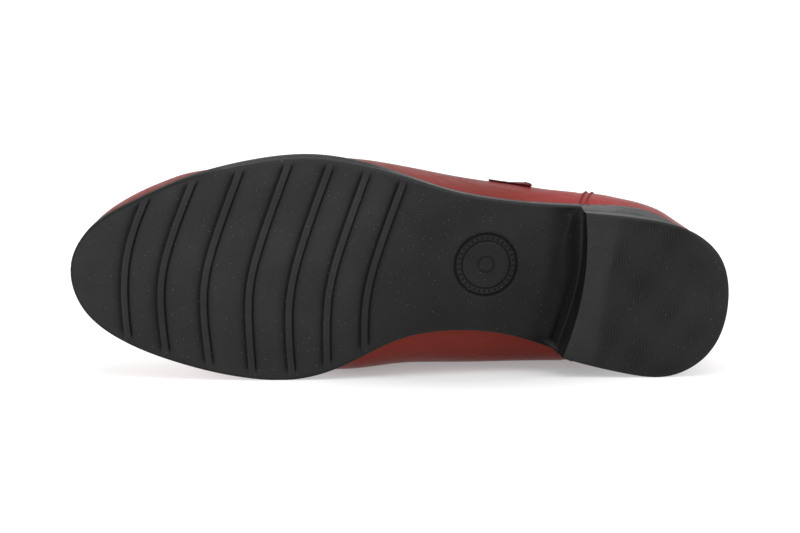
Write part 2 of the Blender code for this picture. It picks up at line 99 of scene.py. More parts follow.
# One row for each section round the shoe. x, y: the sole's outline. collar: the top line.
# lift, lean: how high the wall first climbs and how far it leans out. brow, drop: how far the
# wall stands out and down from the collar before it closes in to it. tuck: how far the heel draws
# in from feather line to ground.
STATIONS = [Station(*row) for row in (
    ("heel back", 0.8, -1.0, 5.2, -1.0, 79.0, 20.0, 3.6, 5.0, 20.0, -1.5),
    ("outer heel corner", 5.2, 17.0, 10.5, 11.5, 77.2, 18.0, 1.6, 1.6, 19.0, -1.7),
    ("outer heel quarter", 15.5, 24.2, 20.0, 18.6, 74.0, 17.0, 2.1, 0.6, 18.0, -2.6),
    ("outer heel", 31.0, 30.5, 35.0, 25.4, 68.0, 15.0, 2.2, 2.9, 17.0, 0.1),
    ("outer breast", 56.0, 31.8, 60.0, 29.2, 61.5, 13.0, 2.8, 5.2, 15.0, 0.1),
    ("outer waist", 82.0, 32.3, 83.0, 31.0, 58.6, 12.0, 3.2, 4.8, 15.0, 0.0),
    ("outer waist front", 108.0, 36.1, 104.0, 32.6, 58.0, 13.0, 3.8, 5.4, 14.0, 0.0),
    ("outer joint back", 132.0, 43.2, 126.0, 31.2, 58.8, 16.0, 2.6, 4.0, 13.0, 0.0),
    ("outer joint", 159.0, 47.4, 144.5, 23.8, 60.4, 20.0, -1.2, 1.5, 12.0, 0.0),
    ("outer ball", 183.0, 44.1, 152.5, 17.0, 61.0, 21.0, -1.5, 1.0, 12.0, 0.0),
    ("outer toe side", 208.0, 35.8, 156.4, 10.5, 61.0, 23.0, 4.4, 7.0, 14.0, 0.0),
    ("outer toe", 229.5, 24.4, 158.0, 5.0, 61.0, 25.0, 7.5, 14.0, 16.0, 0.0),
    ("outer toe corner", 244.0, 13.7, 158.6, 1.0, 61.0, 26.0, 7.0, 14.0, 18.0, 0.0),
    ("toe tip", 251.5, -2.3, 158.8, -3.0, 61.0, 19.5, 1.5, 0.0, 17.5, 0.0),
    ("inner toe corner", 246.2, -18.0, 158.5, -7.5, 61.0, 20.0, 1.3, 0.0, 16.5, 0.0),
    ("inner toe", 231.0, -28.7, 157.4, -11.5, 61.0, 21.0, 0.6, 1.0, 13.5, 0.0),
    ("inner toe side", 209.0, -35.5, 155.0, -16.3, 61.0, 22.0, 0.3, 1.5, 11.0, 0.0),
    ("inner ball", 182.0, -39.8, 150.8, -21.6, 61.0, 23.0, 0.0, 3.0, 10.0, 0.0),
    ("inner joint", 161.0, -39.0, 143.5, -26.8, 60.7, 20.0, 3.0, 4.5, 12.0, 0.0),
    ("inner joint back", 143.0, -32.2, 133.0, -31.2, 60.2, 10.5, 12.8, 10.5, 18.0, 0.0),
    ("inner waist front", 124.0, -22.3, 118.5, -33.5, 59.7, 10.0, 18.0, 16.0, 22.0, 0.0),
    ("inner waist", 102.0, -18.4, 100.5, -33.8, 59.2, 8.5, 17.0, 18.7, 22.0, 0.0),
    ("inner waist back", 80.0, -20.2, 81.0, -33.0, 60.0, 8.0, 15.3, 16.2, 22.0, 0.0),
    ("inner breast", 58.0, -26.4, 61.0, -30.6, 62.6, 9.0, 9.4, 10.8, 22.0, 0.8),
    ("inner heel", 38.0, -30.8, 42.0, -27.2, 67.0, 12.0, 3.4, 5.0, 19.0, 1.55),
    ("inner heel quarter", 20.0, -30.2, 24.0, -22.4, 72.5, 16.0, 1.5, 2.0, 18.0, 0.7),
    ("inner heel corner", 6.8, -20.7, 11.5, -13.2, 77.0, 18.0, 2.0, 2.6, 19.0, -0.65),
)]

Channel = namedtuple("Channel", "bend_x bend_y lean spread ease")
# Each channel is two nearly straight legs joined by a soft bend. lean: its slope at the bend.
# spread: how much the legs turn from that slope, towards the heel. ease: how soft the bend is.
CHANNELS = [Channel(*row) for row in (
    (137.3, -5.7, -0.095, 0.225, 15.8), (151.7, -4.4, -0.100, 0.216, 16.4),
    (166.5, -6.6, -0.070, 0.257, 19.4), (182.0, -3.9, -0.081, 0.234, 14.0),
    (199.4, -4.9, -0.057, 0.277, 15.8), (215.9, -4.3, -0.063, 0.309, 17.7),
    (229.8, 3.2, -0.123, 0.380, 24.9),
)]

STRAP_X = 83.4
STRAP_WIDTH = 19.0
STRAP_THICKNESS = 1.6
STRAP_INNER_END = 0.70     # where it ends inside the inner quarter, as a share of the wall
STRAP_ARCH = 33.0

NUDGE = 0.05               # small steps, along the outline and up the wall, that slopes come from
RISE = 0.002
TABLE_STEPS = 6000


def closed_spline(knots, period, rows):
    """Return a function of distance that runs smoothly round a closed ring of rows."""
    rows = np.asarray(rows, float)
    count = len(rows)
    gaps = np.diff(np.append(knots, knots[0] + period))
    slopes = (np.roll(rows, -1, axis=0) - rows) / gaps[:, None]
    matrix = np.zeros((count, count))
    for i in range(count):
        matrix[i, i - 1] += gaps[i - 1]
        matrix[i, i] += 2.0 * (gaps[i - 1] + gaps[i])
        matrix[i, (i + 1) % count] += gaps[i]
    bends = np.linalg.solve(matrix, 6.0 * (slopes - np.roll(slopes, 1, axis=0)))

    def at(distance):
        distance = np.mod(np.atleast_1d(distance).astype(float), period)
        i = np.searchsorted(knots, distance, side="right") - 1
        j = (i + 1) % count
        gap = gaps[i][:, None]
        a = (knots[i] + gaps[i] - distance)[:, None] / gap
        b = 1.0 - a
        curve = ((a ** 3 - a) * bends[i] + (b ** 3 - b) * bends[j]) * gap ** 2 / 6.0
        return a * rows[i] + b * rows[j] + curve

    return at


def smooth_step(t):
    """0 up to t = 0, 1 from t = 1, and a smooth rise between."""
    t = np.clip(t, 0.0, 1.0)
    return t * t * (3.0 - 2.0 * t)


def ramp(value, start, length):
    """A smooth rise from 0 at start to 1, a length further on."""
    return smooth_step((value - start) / length)


def fall(value, end, length):
    """A smooth fall from 1 to 0, over a length that ends at end."""
    return smooth_step((end - value) / length)


def part_way(first, last, share):
    """The value or point that lies a share of the way from first to last."""
    return first + (last - first) * share


def join(starts, ends, t):
    """Points at each t along straight lines from starts to ends, as one row for each line."""
    return starts[:, None] * (1.0 - t)[:, None] + ends[:, None] * t[:, None]


def humps(value, rows):
    """Sum of soft humps; each row gives a hump's middle, its reach and its height."""
    return sum(height * np.exp(-((value - middle) / reach) ** 2) for middle, reach, height in rows)


def bezier(t, start, low, high, end):
    """Points at t on the curve from start to end that heads for low and comes in from high."""
    w = 1.0 - t
    return w ** 3 * start + 3 * w * w * t * low + 3 * w * t * t * high + t ** 3 * end


def unit(vectors):
    """Vectors of length 1 in the same directions."""
    return vectors / np.linalg.norm(vectors, axis=-1, keepdims=True)


OUTLINE_ROWS = np.array([(s.x, s.y) for s in STATIONS])
CHORDS = np.linalg.norm(np.roll(OUTLINE_ROWS, -1, axis=0) - OUTLINE_ROWS, axis=1)
KNOTS = np.concatenate(([0.0], np.cumsum(CHORDS)[:-1]))
PERIMETER = CHORDS.sum()
FORM = closed_spline(KNOTS, PERIMETER, [s[1:] for s in STATIONS])
TUCK_COLUMN = Station._fields.index("tuck") - 1
TIP_X = max(s.x for s in STATIONS)


def outline_at(distance):
    """Outline point and outward normal, in plan, at a distance round the sole."""
    here = FORM(distance)[:, :2]
    distance = np.asarray(distance)
    along = unit(FORM(distance + NUDGE)[:, :2] - FORM(distance - NUDGE)[:, :2])
    return here, np.column_stack((-along[:, 1], along[:, 0]))


def from_outline(plan, samples):
    """How far points in plan lie from the sole's outline."""
    rim, _ = outline_at(np.linspace(0.0, PERIMETER, samples, endpoint=False))
    flat = plan.reshape(-1, 2)
    away = np.sqrt(((flat[:, None, :] - rim[None, :, :]) ** 2).sum(axis=2)).min(axis=1)
    return away.reshape(plan.shape[:-1])


def waist_height(x):
    """Height of the sole's underside in front of the heel."""
    x = np.asarray(x, float)
    down = WAIST_HEIGHT * fall(x, WAIST_FRONT, WAIST_FRONT - BREAST_X) ** WAIST_POWER
    past = np.clip(x - SPRING_START, 0.0, None) / (TIP_X - SPRING_START)
    return down + TOE_SPRING * past ** SPRING_POWER


def feather_height(x):
    """Height of the line where the upper meets the sole."""
    x = np.asarray(x, float)
    seat = SEAT_RISE * fall(x, BREAST_X, BREAST_X)
    return waist_height(np.maximum(x, BREAST_X)) + SOLE_EDGE + seat


def wall_at(distance, v):
    """Outer face of the upper: distance round the sole, v from feather line 0 to collar 1."""
    row = FORM(distance)
    edge, normal = outline_at(distance)
    collar = row[:, 2:5]
    lift, lean, brow, drop = row[:, 5:6], row[:, 6:7], row[:, 7:8], row[:, 8:9]
    foot = np.column_stack((edge - normal * FEATHER_INSET, feather_height(edge[:, 0]) + GAP))
    outward = np.column_stack((normal, np.zeros(len(normal))))
    upward = np.array([[0.0, 0.0, 1.0]])
    level = np.array([[1.0, 1.0, 0.0]])
    low = foot + outward * lean + upward * lift
    high = collar + (foot - collar) * level * REACH + outward * brow - upward * drop
    v = np.atleast_1d(v)
    v = v[None, :, None] if v.ndim == 1 else v[:, :, None]
    return bezier(v, *(p[:, None, :] for p in (foot, low, high, collar)))


def wall_normal(distance, v):
    """Outward unit normal of the upper's outer face."""
    distance = np.atleast_1d(distance).astype(float)
    v = np.asarray(v, float)
    round_it = wall_at(distance + NUDGE, v) - wall_at(distance - NUDGE, v)
    up_it = wall_at(distance, v + RISE) - wall_at(distance, v - RISE)
    return unit(np.cross(up_it, round_it))


def heel_tuck(distance, z):
    """How far the heel's wall stands inside the feather line, round the sole and at a height."""
    return FORM(distance)[:, TUCK_COLUMN] * (1.0 - z / (WAIST_HEIGHT + SOLE_EDGE))


def side_tables(lean):
    """Distance round the sole against x + lean * y, along its outer and then its inner side."""
    distance = np.linspace(0.0, PERIMETER, TABLE_STEPS, endpoint=False)
    place = FORM(distance)
    distance += distance[np.argmin(place[:, 0] + lean * place[:, 1])]
    distance = np.append(distance, distance[0] + PERIMETER)
    place = FORM(distance)
    reach = place[:, 0] + lean * place[:, 1]
    far = int(np.argmax(reach))
    return (reach[:far + 1], distance[:far + 1]), (reach[far:][::-1], distance[far:][::-1])


def side_y(x, side):
    """y of the outer or the inner side of the sole, where it reaches x."""
    return FORM(np.interp(x, *side))[0, 1]


def shoe_to_world():
    """The matrix that lays the standing shoe on its inner side, sole towards -Y."""
    on_side = Matrix(((-1.0, 0.0, 0.0), (0.0, 0.0, 1.0), (0.0, 1.0, 0.0))).to_4x4()
    turn = Matrix.Rotation(math.radians(LAY_TURN), 4, "Y")
    roll = Matrix.Rotation(math.radians(LAY_ROLL), 4, "X")
    return Matrix.Translation(LAY_SHIFT) @ roll @ turn @ on_side


TO_WORLD = np.array(shoe_to_world())


# ------------------------------------------------------------ making pieces

def new_piece(name, points, faces, material, wear_and_painted_light=None):
    """Make a mesh piece from points in the shoe's frame and let it ride on the part.

    The last argument sets the tone at each point. For rubber 0 is near black, painted shade in
    recesses, LAND_FINISH the scuffed tread and 1 the smooth edges, paler as a painted highlight;
    for leather 0 is its own colour and 1 pale, a painted highlight.
    """
    points = np.asarray(points, float).reshape(-1, 3)
    world = (points @ TO_WORLD[:3, :3].T + TO_WORLD[:3, 3]) * MM
    world[:, 2] = np.maximum(world[:, 2], FLOOR_CLEARANCE)
    mesh = bpy.data.meshes.new(name)
    mesh.from_pydata(world.tolist(), [], faces)
    if wear_and_painted_light is not None:
        mesh.attributes.new("wear_and_painted_light", "FLOAT", "POINT").data.foreach_set("value", wear_and_painted_light.ravel())
    mesh.validate()
    mesh.shade_smooth()
    mesh.materials.append(material)
    piece = bpy.data.objects.new(name, mesh)
    bpy.context.scene.collection.objects.link(piece)
    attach(piece, BODY)
    return piece


def grid_faces(shape, close_rows=False, close_columns=False, flip=False):
    """Quads of a grid of points that is stored row after row."""
    rows, columns = shape[:2]
    i = np.arange(rows if close_rows else rows - 1)[:, None]
    j = np.arange(columns if close_columns else columns - 1)[None, :]
    below = (i + 1) % rows
    right = (j + 1) % columns
    corners = (i * columns + j, i * columns + right, below * columns + right, below * columns + j)
    quads = np.stack(corners, axis=-1).reshape(-1, 4)
    return (quads[:, ::-1] if flip else quads).tolist()


def with_height(plan, z):
    """Add heights to points in plan."""
    return np.concatenate((plan, np.broadcast_to(z, plan.shape[:-1])[..., None]), axis=-1)


# ------------------------------------------------------------ materials

LAND_FINISH = 0.85         # how scuffed the forefoot is, on the scale that new_piece() gives
RUBBER_ROUGHNESS = 0.5
EDGE_ROUGHNESS = 0.25      # of polished rubber
# near black: painted shade for recesses, creases and the hollow before the heel
RUBBER_PAINTED_SHADE = (0.0012, 0.0012, 0.0013)
RUBBER_DARK = (0.0225, 0.023, 0.023)
RUBBER_LIGHT = (0.0285, 0.029, 0.029)
RUBBER_SPECULAR = 0.12
DUST_SCALE = 640.0         # specks per metre
DUST_SHARE = 0.6           # how much of the rubber's colour a speck takes away
DUST_SIZE = (0.03, 0.07)   # where a speck fades and ends, as shares of the specks' spacing
DUST_COLOUR = (0.42, 0.42, 0.40)
LEATHER_DARK = (0.16, 0.0225, 0.0150)
LEATHER_LIGHT = (0.19, 0.0270, 0.0180)
# the pale colour the leather's painted highlight mixes to
LEATHER_PAINTED_HIGHLIGHT = (0.36, 0.040, 0.040)
LEATHER_FINISH = (0.33, 0.08)   # roughness and specular level
LEATHER_SHEEN = 0.07
LEATHER_SHEEN_SPREAD = 0.25
# the strap is the upper's own leather, painted darker here as the shade it lies in
STRAP_SHADED_DARK = (0.085, 0.008, 0.009)
STRAP_SHADED_LIGHT = (0.12, 0.012, 0.013)
STRAP_FINISH = (0.42, 0.12)
LINING_DARK = (0.40, 0.27, 0.17)
LINING_LIGHT = (0.50, 0.36, 0.25)
LINING_FINISH = (0.75, 0.3)
THREAD_DARK = (0.14, 0.007, 0.012)
THREAD_LIGHT = (0.20, 0.012, 0.018)
THREAD_FINISH = (0.55, 0.4)


def feed(tree, node, inputs):
    """Link a node's inputs to other nodes' outputs, or set them to plain numbers and colours."""
    for name, value in inputs.items():
        socket = node.inputs[name]
        if isinstance(value, bpy.types.NodeSocket):
            tree.links.new(value, socket)
        elif socket.type == "RGBA":
            socket.default_value = (*value, 1.0)
        else:
            socket.default_value = value


def add_node(tree, kind, output, inputs, **settings):
    """Add a node, set or link its inputs, and return one of its outputs."""
    node = tree.nodes.new(kind)
    for name, value in settings.items():
        setattr(node, name, value)
    feed(tree, node, inputs)
    return node.outputs[output]


def new_material(name, colour, roughness, specular):
    """A Principled material: itself, its tree, its shader, and coordinates fixed to the piece."""
    material = bpy.data.materials.new(name)
    material.use_nodes = True
    tree = material.node_tree
    shader = tree.nodes["Principled BSDF"]
    feed(tree, shader, {"Base Color": colour, "Roughness": roughness, "Metallic": 0.0,
                        "Specular IOR Level": specular})
    return material, tree, shader, add_node(tree, "ShaderNodeTexCoord", "Object", {})


def wear_and_light_of(tree):
    """The tone new_piece() wrote on the mesh: wear, painted shade and painted highlight."""
    return add_node(tree, "ShaderNodeAttribute", "Fac", {}, attribute_name="wear_and_painted_light")


def noise(tree, where, scale, detail):
    """Smooth noise between 0 and 1; scale is in features per metre."""
    inputs = {"Vector": where, "Scale": scale, "Detail": detail}
    return add_node(tree, "ShaderNodeTexNoise", "Fac", inputs)


def cells(tree, where, scale, feature="F1"):
    """Distance to the nearest of scattered points; scale is in points per metre."""
    inputs = {"Vector": where, "Scale": scale}
    return add_node(tree, "ShaderNodeTexVoronoi", "Distance", inputs, feature=feature)


def remap(tree, value, low, high, to_low, to_high):
    """Turn a value's range from low to high into another, and hold it at both ends."""
    inputs = {"Value": value, "From Min": low, "From Max": high, "To Min": to_low,
              "To Max": to_high}
    return add_node(tree, "ShaderNodeMapRange", "Result", inputs)


def clouds(tree, where, scale, detail, low=0.0, high=1.0, spread=0.2):
    """Noise stretched to a range from low to high, which it fills within spread of its middle."""
    raw = noise(tree, where, scale, detail)
    return remap(tree, raw, 0.5 - spread, 0.5 + spread, low, high)


def combine(tree, operation, first, second):
    """Add or multiply two numbers."""
    return add_node(tree, "ShaderNodeMath", "Value", {0: first, 1: second}, operation=operation)


def mix_colour(tree, share, first, second):
    """Mix two colours."""
    inputs = {"Factor": share, "A": first, "B": second}
    return add_node(tree, "ShaderNodeMix", "Result", inputs, data_type="RGBA")


def bumps(tree, shader, *layers):
    """Bend the surface's normal by layers of height, each with its depth in metres."""
    inputs = {}
    for height, depth in layers:
        inputs.update({"Height": height, "Distance": depth, "Strength": 1.0})
        inputs["Normal"] = add_node(tree, "ShaderNodeBump", "Normal", inputs)
    feed(tree, shader, {"Normal": inputs["Normal"]})


def make_rubber():
    """Matt black rubber, grain and dust; painted shade in recesses, painted highlight on edges."""
    material, tree, shader, where = new_material("rubber", RUBBER_DARK, RUBBER_ROUGHNESS,
                                                 RUBBER_SPECULAR)
    wear_and_painted_light = wear_and_light_of(tree)
    cloud = clouds(tree, where, scale=60.0, detail=4.0, spread=0.15)
    scuffed = mix_colour(tree, cloud, RUBBER_DARK, RUBBER_LIGHT)
    grain = clouds(tree, where, scale=2600.0, detail=2.0, low=0.82, high=1.18)
    # the attribute mixes from near-black painted shade up to the scuffed colour
    inputs = {0: mix_colour(tree, wear_and_painted_light, RUBBER_PAINTED_SHADE, scuffed), "Scale": grain}
    tinted = add_node(tree, "ShaderNodeVectorMath", "Vector", inputs, operation="SCALE")
    dust = remap(tree, cells(tree, where, DUST_SCALE), *DUST_SIZE, DUST_SHARE, 0.0)
    uneven = clouds(tree, where, scale=140.0, detail=5.0, low=-0.06, high=0.06)
    polish = remap(tree, wear_and_painted_light, LAND_FINISH, 1.0, RUBBER_ROUGHNESS, EDGE_ROUGHNESS)
    feed(tree, shader, {"Base Color": mix_colour(tree, dust, tinted, DUST_COLOUR),
                        "Roughness": combine(tree, "ADD", uneven, polish)})
    bumps(tree, shader, (noise(tree, where, scale=2200.0, detail=2.0), 0.00004),
          (noise(tree, where, scale=180.0, detail=3.0), 0.00004))
    return material


def make_leather(name, dark, light, roughness, specular):
    """Smooth dyed leather: clouded colour, faint pores, soft creases, painted pale highlights."""
    material, tree, shader, where = new_material(name, dark, roughness, specular)
    cloud = clouds(tree, where, scale=45.0, detail=5.0)
    dyed = mix_colour(tree, cloud, dark, light)
    uneven = clouds(tree, where, scale=220.0, detail=4.0, low=roughness - 0.05,
                    high=roughness + 0.06)
    feed(tree, shader, {"Base Color": mix_colour(tree, wear_and_light_of(tree), dyed, LEATHER_PAINTED_HIGHLIGHT),
                        "Roughness": uneven, "Sheen Weight": LEATHER_SHEEN,
                        "Sheen Roughness": LEATHER_SHEEN_SPREAD})
    bumps(tree, shader, (cells(tree, where, scale=1500.0, feature="SMOOTH_F1"), 0.00005),
          (noise(tree, where, scale=160.0, detail=4.0), 0.00025))
    return material


def make_lining():
    """Pale, close-napped lining leather."""
    material, tree, shader, where = new_material("lining", LINING_DARK, *LINING_FINISH)
    cloud = clouds(tree, where, scale=50.0, detail=5.0)
    feed(tree, shader, {"Base Color": mix_colour(tree, cloud, LINING_DARK, LINING_LIGHT)})
    bumps(tree, shader, (noise(tree, where, scale=1900.0, detail=2.0), 0.00008),
          (cells(tree, where, scale=900.0), 0.00006))
    return material


def make_thread():
    """Thread of twisted dark and lighter fibres."""
    material, tree, shader, where = new_material("thread", THREAD_DARK, *THREAD_FINISH)
    fibre = clouds(tree, where, scale=3000.0, detail=2.0)
    feed(tree, shader, {"Base Color": mix_colour(tree, fibre, THREAD_DARK, THREAD_LIGHT)})
    return material


# ------------------------------------------------------------ the sole

# Each channel is a low strip between two creases, and the lands roll down to them softly:
# distance from the channel's middle line, forward positive, depth, and share of the land's tone
# that the rubber has there: lower near the creases as painted shade, higher at the strip's edges
# as a painted highlight.
CHANNEL_SECTION = (
    (-4.6, 0.0, 1.0), (-3.8, 0.05, 0.93), (-3.2, 0.15, 0.82), (-2.7, 0.3, 0.68),
    (-2.3, 0.5, 0.53), (-2.0, 0.7, 0.4), (-1.8, 0.86, 0.31), (-1.62, 0.98, 0.26),
    (-1.48, 0.88, 0.33), (-1.35, 0.36, 1.0), (-1.22, 0.2, 1.08), (-0.95, 0.13, 1.0),
    (-0.5, 0.11, 0.95), (-0.1, 0.1, 0.96), (0.3, 0.1, 1.0), (0.65, 0.12, 1.1),
    (0.85, 0.17, 1.25), (0.98, 0.36, 1.25), (1.1, 0.9, 0.35), (1.24, 1.04, 0.22),
    (1.5, 1.02, 0.24), (1.8, 0.9, 0.34), (2.1, 0.73, 0.47), (2.5, 0.52, 0.6),
    (3.0, 0.34, 0.73), (3.7, 0.19, 0.84), (4.6, 0.08, 0.93), (5.5, 0.02, 0.98), (6.4, 0.0, 1.0),
)
CHANNEL_FADE_OUTER = 3.4   # how far from the lower edge a channel reaches its full depth
CHANNEL_FADE_INNER = 4.2
RIM_ANGLES = np.radians(np.linspace(0.0, 90.0, 4))    # steps round an upper rim
EDGE_ANGLES = np.radians(np.linspace(0.0, 90.0, 8))   # steps round a lower edge
WALL_SHARES = (0.3, 0.65)  # rows down the sole's side, between rim and lower edge
FEATHER_ROUND = 0.4        # rounding of the sole's upper rim
EDGE_WIDTH = 0.8           # rounded lower edge of the forefoot
EDGE_HEIGHT = 0.9
EDGE_WIDTH_WAIST = 0.65    # its width at the waist, at the breast and round the heel block
BREAST_EDGE = 0.55
BLOCK_EDGE = 0.15
BREAST_EDGE_REACH = 6.0    # how far ahead of the breast it has the waist's width
EDGE_WIDENS = (100.0, 45.0)     # where along x that grows to the forefoot's
LIFT_SEAM = 0.08           # the fine joint between lift and block
SIDE_DRAFT = 1.0           # how far the forefoot's outer side slopes in towards the ground
DRAFT_STARTS = (116.0, 30.0)    # where along x that starts and ends
DRAFT_ENDS = (188.0, 24.0)
GROUND_STARTS = (110.0, 30.0)   # where the lines across start to end at the rounded edge
TOP_CELLS = 16             # cells across the top, and across the underside
BASE_CELLS = 96
LAND_STEPS = 7             # steps from one channel to the next, and along the other parts
WAIST_STEPS = 90
TOE_STEPS = 44
HEEL_STEPS = 44
BREAST_STEPS = 26
BREAST_CLIMB = 0.3         # how steeply the breast goes on past its last row, to the waist
BREAST_EASE = 2.4          # roundness of the change from breast to waist
LEDGE_INNER = 0.3          # how far the block stands in front of the lift
LEDGE_OUTER = 1.3
LEDGE_GROWS = (5.0, 20.0)  # where along y it grows from one to the other
OUTER_CORNER_X = 56.2      # where the heel's front corners stand on the ground
INNER_CORNER_X = 61.6
OUTER_CORNER_LEAN = 0.05   # how far they lean forward for each millimetre of height
INNER_CORNER_LEAN = 0.1
OUTER_CORNER_REACH = 4.5   # how far from the side the breast turns back to its corner
INNER_CORNER_REACH = 6.0
CORNER_CLIMB = 3.0         # BREAST_CLIMB and BREAST_EASE at a corner
CORNER_EASE = 0.4
END_PULL = 8.0             # how far from its ends a line bends to meet the sides
LINE_Y = np.linspace(-46.0, 54.0, 101)   # where lines across the sole are worked out
MIDDLE = len(LINE_Y) // 2  # where in LINE_Y a line's own place along x is read

# The rubber's tone on the scale that new_piece() gives, and where it changes; much of it is
# painted shade and painted light.
WAIST_FINISH = 0.44        # the waist is darker
WAIST_FADE = (110.0, 45.0)      # where along x it gives way to the forefoot's LAND_FINISH
INNER_SHADE_SHARE = 0.74        # painted shade: share of either left on the inner, lower side
INNER_FADE = (-32.0, 50.0)      # where along y that ends
WAIST_PAINTED_LIGHT = 0.35          # painted light: a paler patch ahead of the breast, on the outer side
PALE_STARTS = (8.0, 10.0)       # measured ahead of the lift, as is where it ends
PALE_ENDS = (30.0, 40.0)
BREAST_PAINTED_SHADE = 0.03        # painted shade: share of the waist's tone left on the breast
BREAST_OUTER = 0.2         # what is added to that towards the outer side
LIFT_GLOW = 0.12           # painted light beside the lift; its front is painted this dark, as shade
LIFT_GLOW_OUTER = 0.5
LIFT_GLOW_REACH = 7.0
OUTER_SHARE = (-5.0, 30.0)      # where along y the outer side is reached
BREAST_FADE = (9.0, 7.5)   # where painted shade gives way to the waist's tone ahead of the lift
BREAST_FADE_SHIFT = 4.5    # how much earlier it starts on the outer side
BREAST_SHIFTS = (8.0, 20.0)     # where along y that shift grows
EDGE_FINISH = 1.0          # smooth moulded edges: shiniest, and palest as painted highlight
EDGE_INNER_PAINTED_SHADE = 0.45   # except along the inner side and round the toe: painted shade
EDGE_INNER = (10.0, 15.0)
EDGE_TOE = (190.0, 22.0)
EDGE_FINISH_BACK = 0.9     # and round the back of the heel
EDGE_BACK = (50.0, 30.0)

STAMP_AT = (92.1, 7.5)     # a plain ring mark under the waist
STAMP_HOLE = 13.6          # radius of the hole in the underside that it fills
STAMP_ABOVE = 0.5          # what lies higher than this over the underside is left whole

OUTER_SIDE, INNER_SIDE = side_tables(0.0)
HEEL_TIP_X = OUTER_SIDE[0][0]
TOE_TIP_X = OUTER_SIDE[0][-1]
OUTER_CORNER_Y = side_y(OUTER_CORNER_X, OUTER_SIDE)
INNER_CORNER_Y = side_y(INNER_CORNER_X, INNER_SIDE)
AT_OUTER_CORNER = smooth_step(1.0 + (LINE_Y - OUTER_CORNER_Y) / OUTER_CORNER_REACH)
AT_INNER_CORNER = smooth_step(1.0 + (INNER_CORNER_Y - LINE_Y) / INNER_CORNER_REACH)
AT_CORNERS = AT_OUTER_CORNER + AT_INNER_CORNER

# A line across the sole: its x and the underside's height at each of LINE_Y, the width of its
# rounded lower edge, 1 on the heel, its depth in a channel, and its share of the land's tone,
# which paints shade in a crease and a highlight on a strip's edge.
Rung = namedtuple("Rung", "line base edge heel depth scuff", defaults=(0.0, 0.0, 1.0))


def channel_line(channel, ahead):
    """x along a channel at each of LINE_Y, some distance ahead of its middle line."""
    across = LINE_Y - channel.bend_y
    reach = np.hypot(across, channel.ease)
    x = channel.bend_x + channel.lean * across - channel.spread * (reach - channel.ease)
    slope = channel.lean - channel.spread * across / reach
    return x + ahead * np.hypot(1.0, slope)


def breast_at(z):
    """Where the breast stands at a height: on the outer side, in the middle, on the inner side."""
    heights = np.array([b.z for b in BREAST])
    rows = np.array([b[1:] for b in BREAST])
    slopes = np.gradient(rows, heights, axis=0)
    i = int(np.clip(np.searchsorted(heights, z) - 1, 0, len(heights) - 2))
    gap = heights[i + 1] - heights[i]
    t = (z - heights[i]) / gap
    place = (1.0 + 2.0 * t) * (1.0 - t) ** 2 * rows[i] + t * t * (3.0 - 2.0 * t) * rows[i + 1]
    return place + gap * t * (1.0 - t) * ((1.0 - t) * slopes[i] - t * slopes[i + 1])


def bowed(first, middle, last, t):
    """A bow from first over middle to last, at t from 0 to 1."""
    return part_way(first, last, t) + 4.0 * t * (1.0 - t) * (middle - (first + last) / 2.0)


def breast_line(z):
    """x of the breast at each of LINE_Y, at a height."""
    outer_x, middle_x, inner_x = breast_at(z)
    outer_y, inner_y = side_y(outer_x, OUTER_SIDE), side_y(inner_x, INNER_SIDE)
    return bowed(inner_x, middle_x, outer_x, (LINE_Y - inner_y) / (outer_y - inner_y))


def block_line(z):
    """x of the heel block's front at each of LINE_Y; it turns back to a sharp corner each side."""
    ledge = part_way(LEDGE_INNER, LEDGE_OUTER, ramp(LINE_Y, *LEDGE_GROWS))
    outer_x, _, inner_x = breast_at(z)
    outer_turn = OUTER_CORNER_X + OUTER_CORNER_LEAN * z - outer_x - LEDGE_OUTER
    inner_turn = INNER_CORNER_X + INNER_CORNER_LEAN * z - inner_x - LEDGE_INNER
    return breast_line(z) + ledge + outer_turn * AT_OUTER_CORNER + inner_turn * AT_INNER_CORNER


def between(first, last, count):
    """Lines strictly between two lines."""
    return [first + (last - first) * step / count for step in range(1, count)]


def ease_into_waist(line, climb):
    """Height of the underside along a line: the breast's own height, eased into the waist."""
    waist = waist_height(line)
    soft = part_way(BREAST_EASE, CORNER_EASE, AT_CORNERS)
    ease = np.clip(1.0 - np.abs(climb - waist) / soft, 0.0, None)
    return np.minimum(climb, waist) - ease ** 2 * soft / 4.0


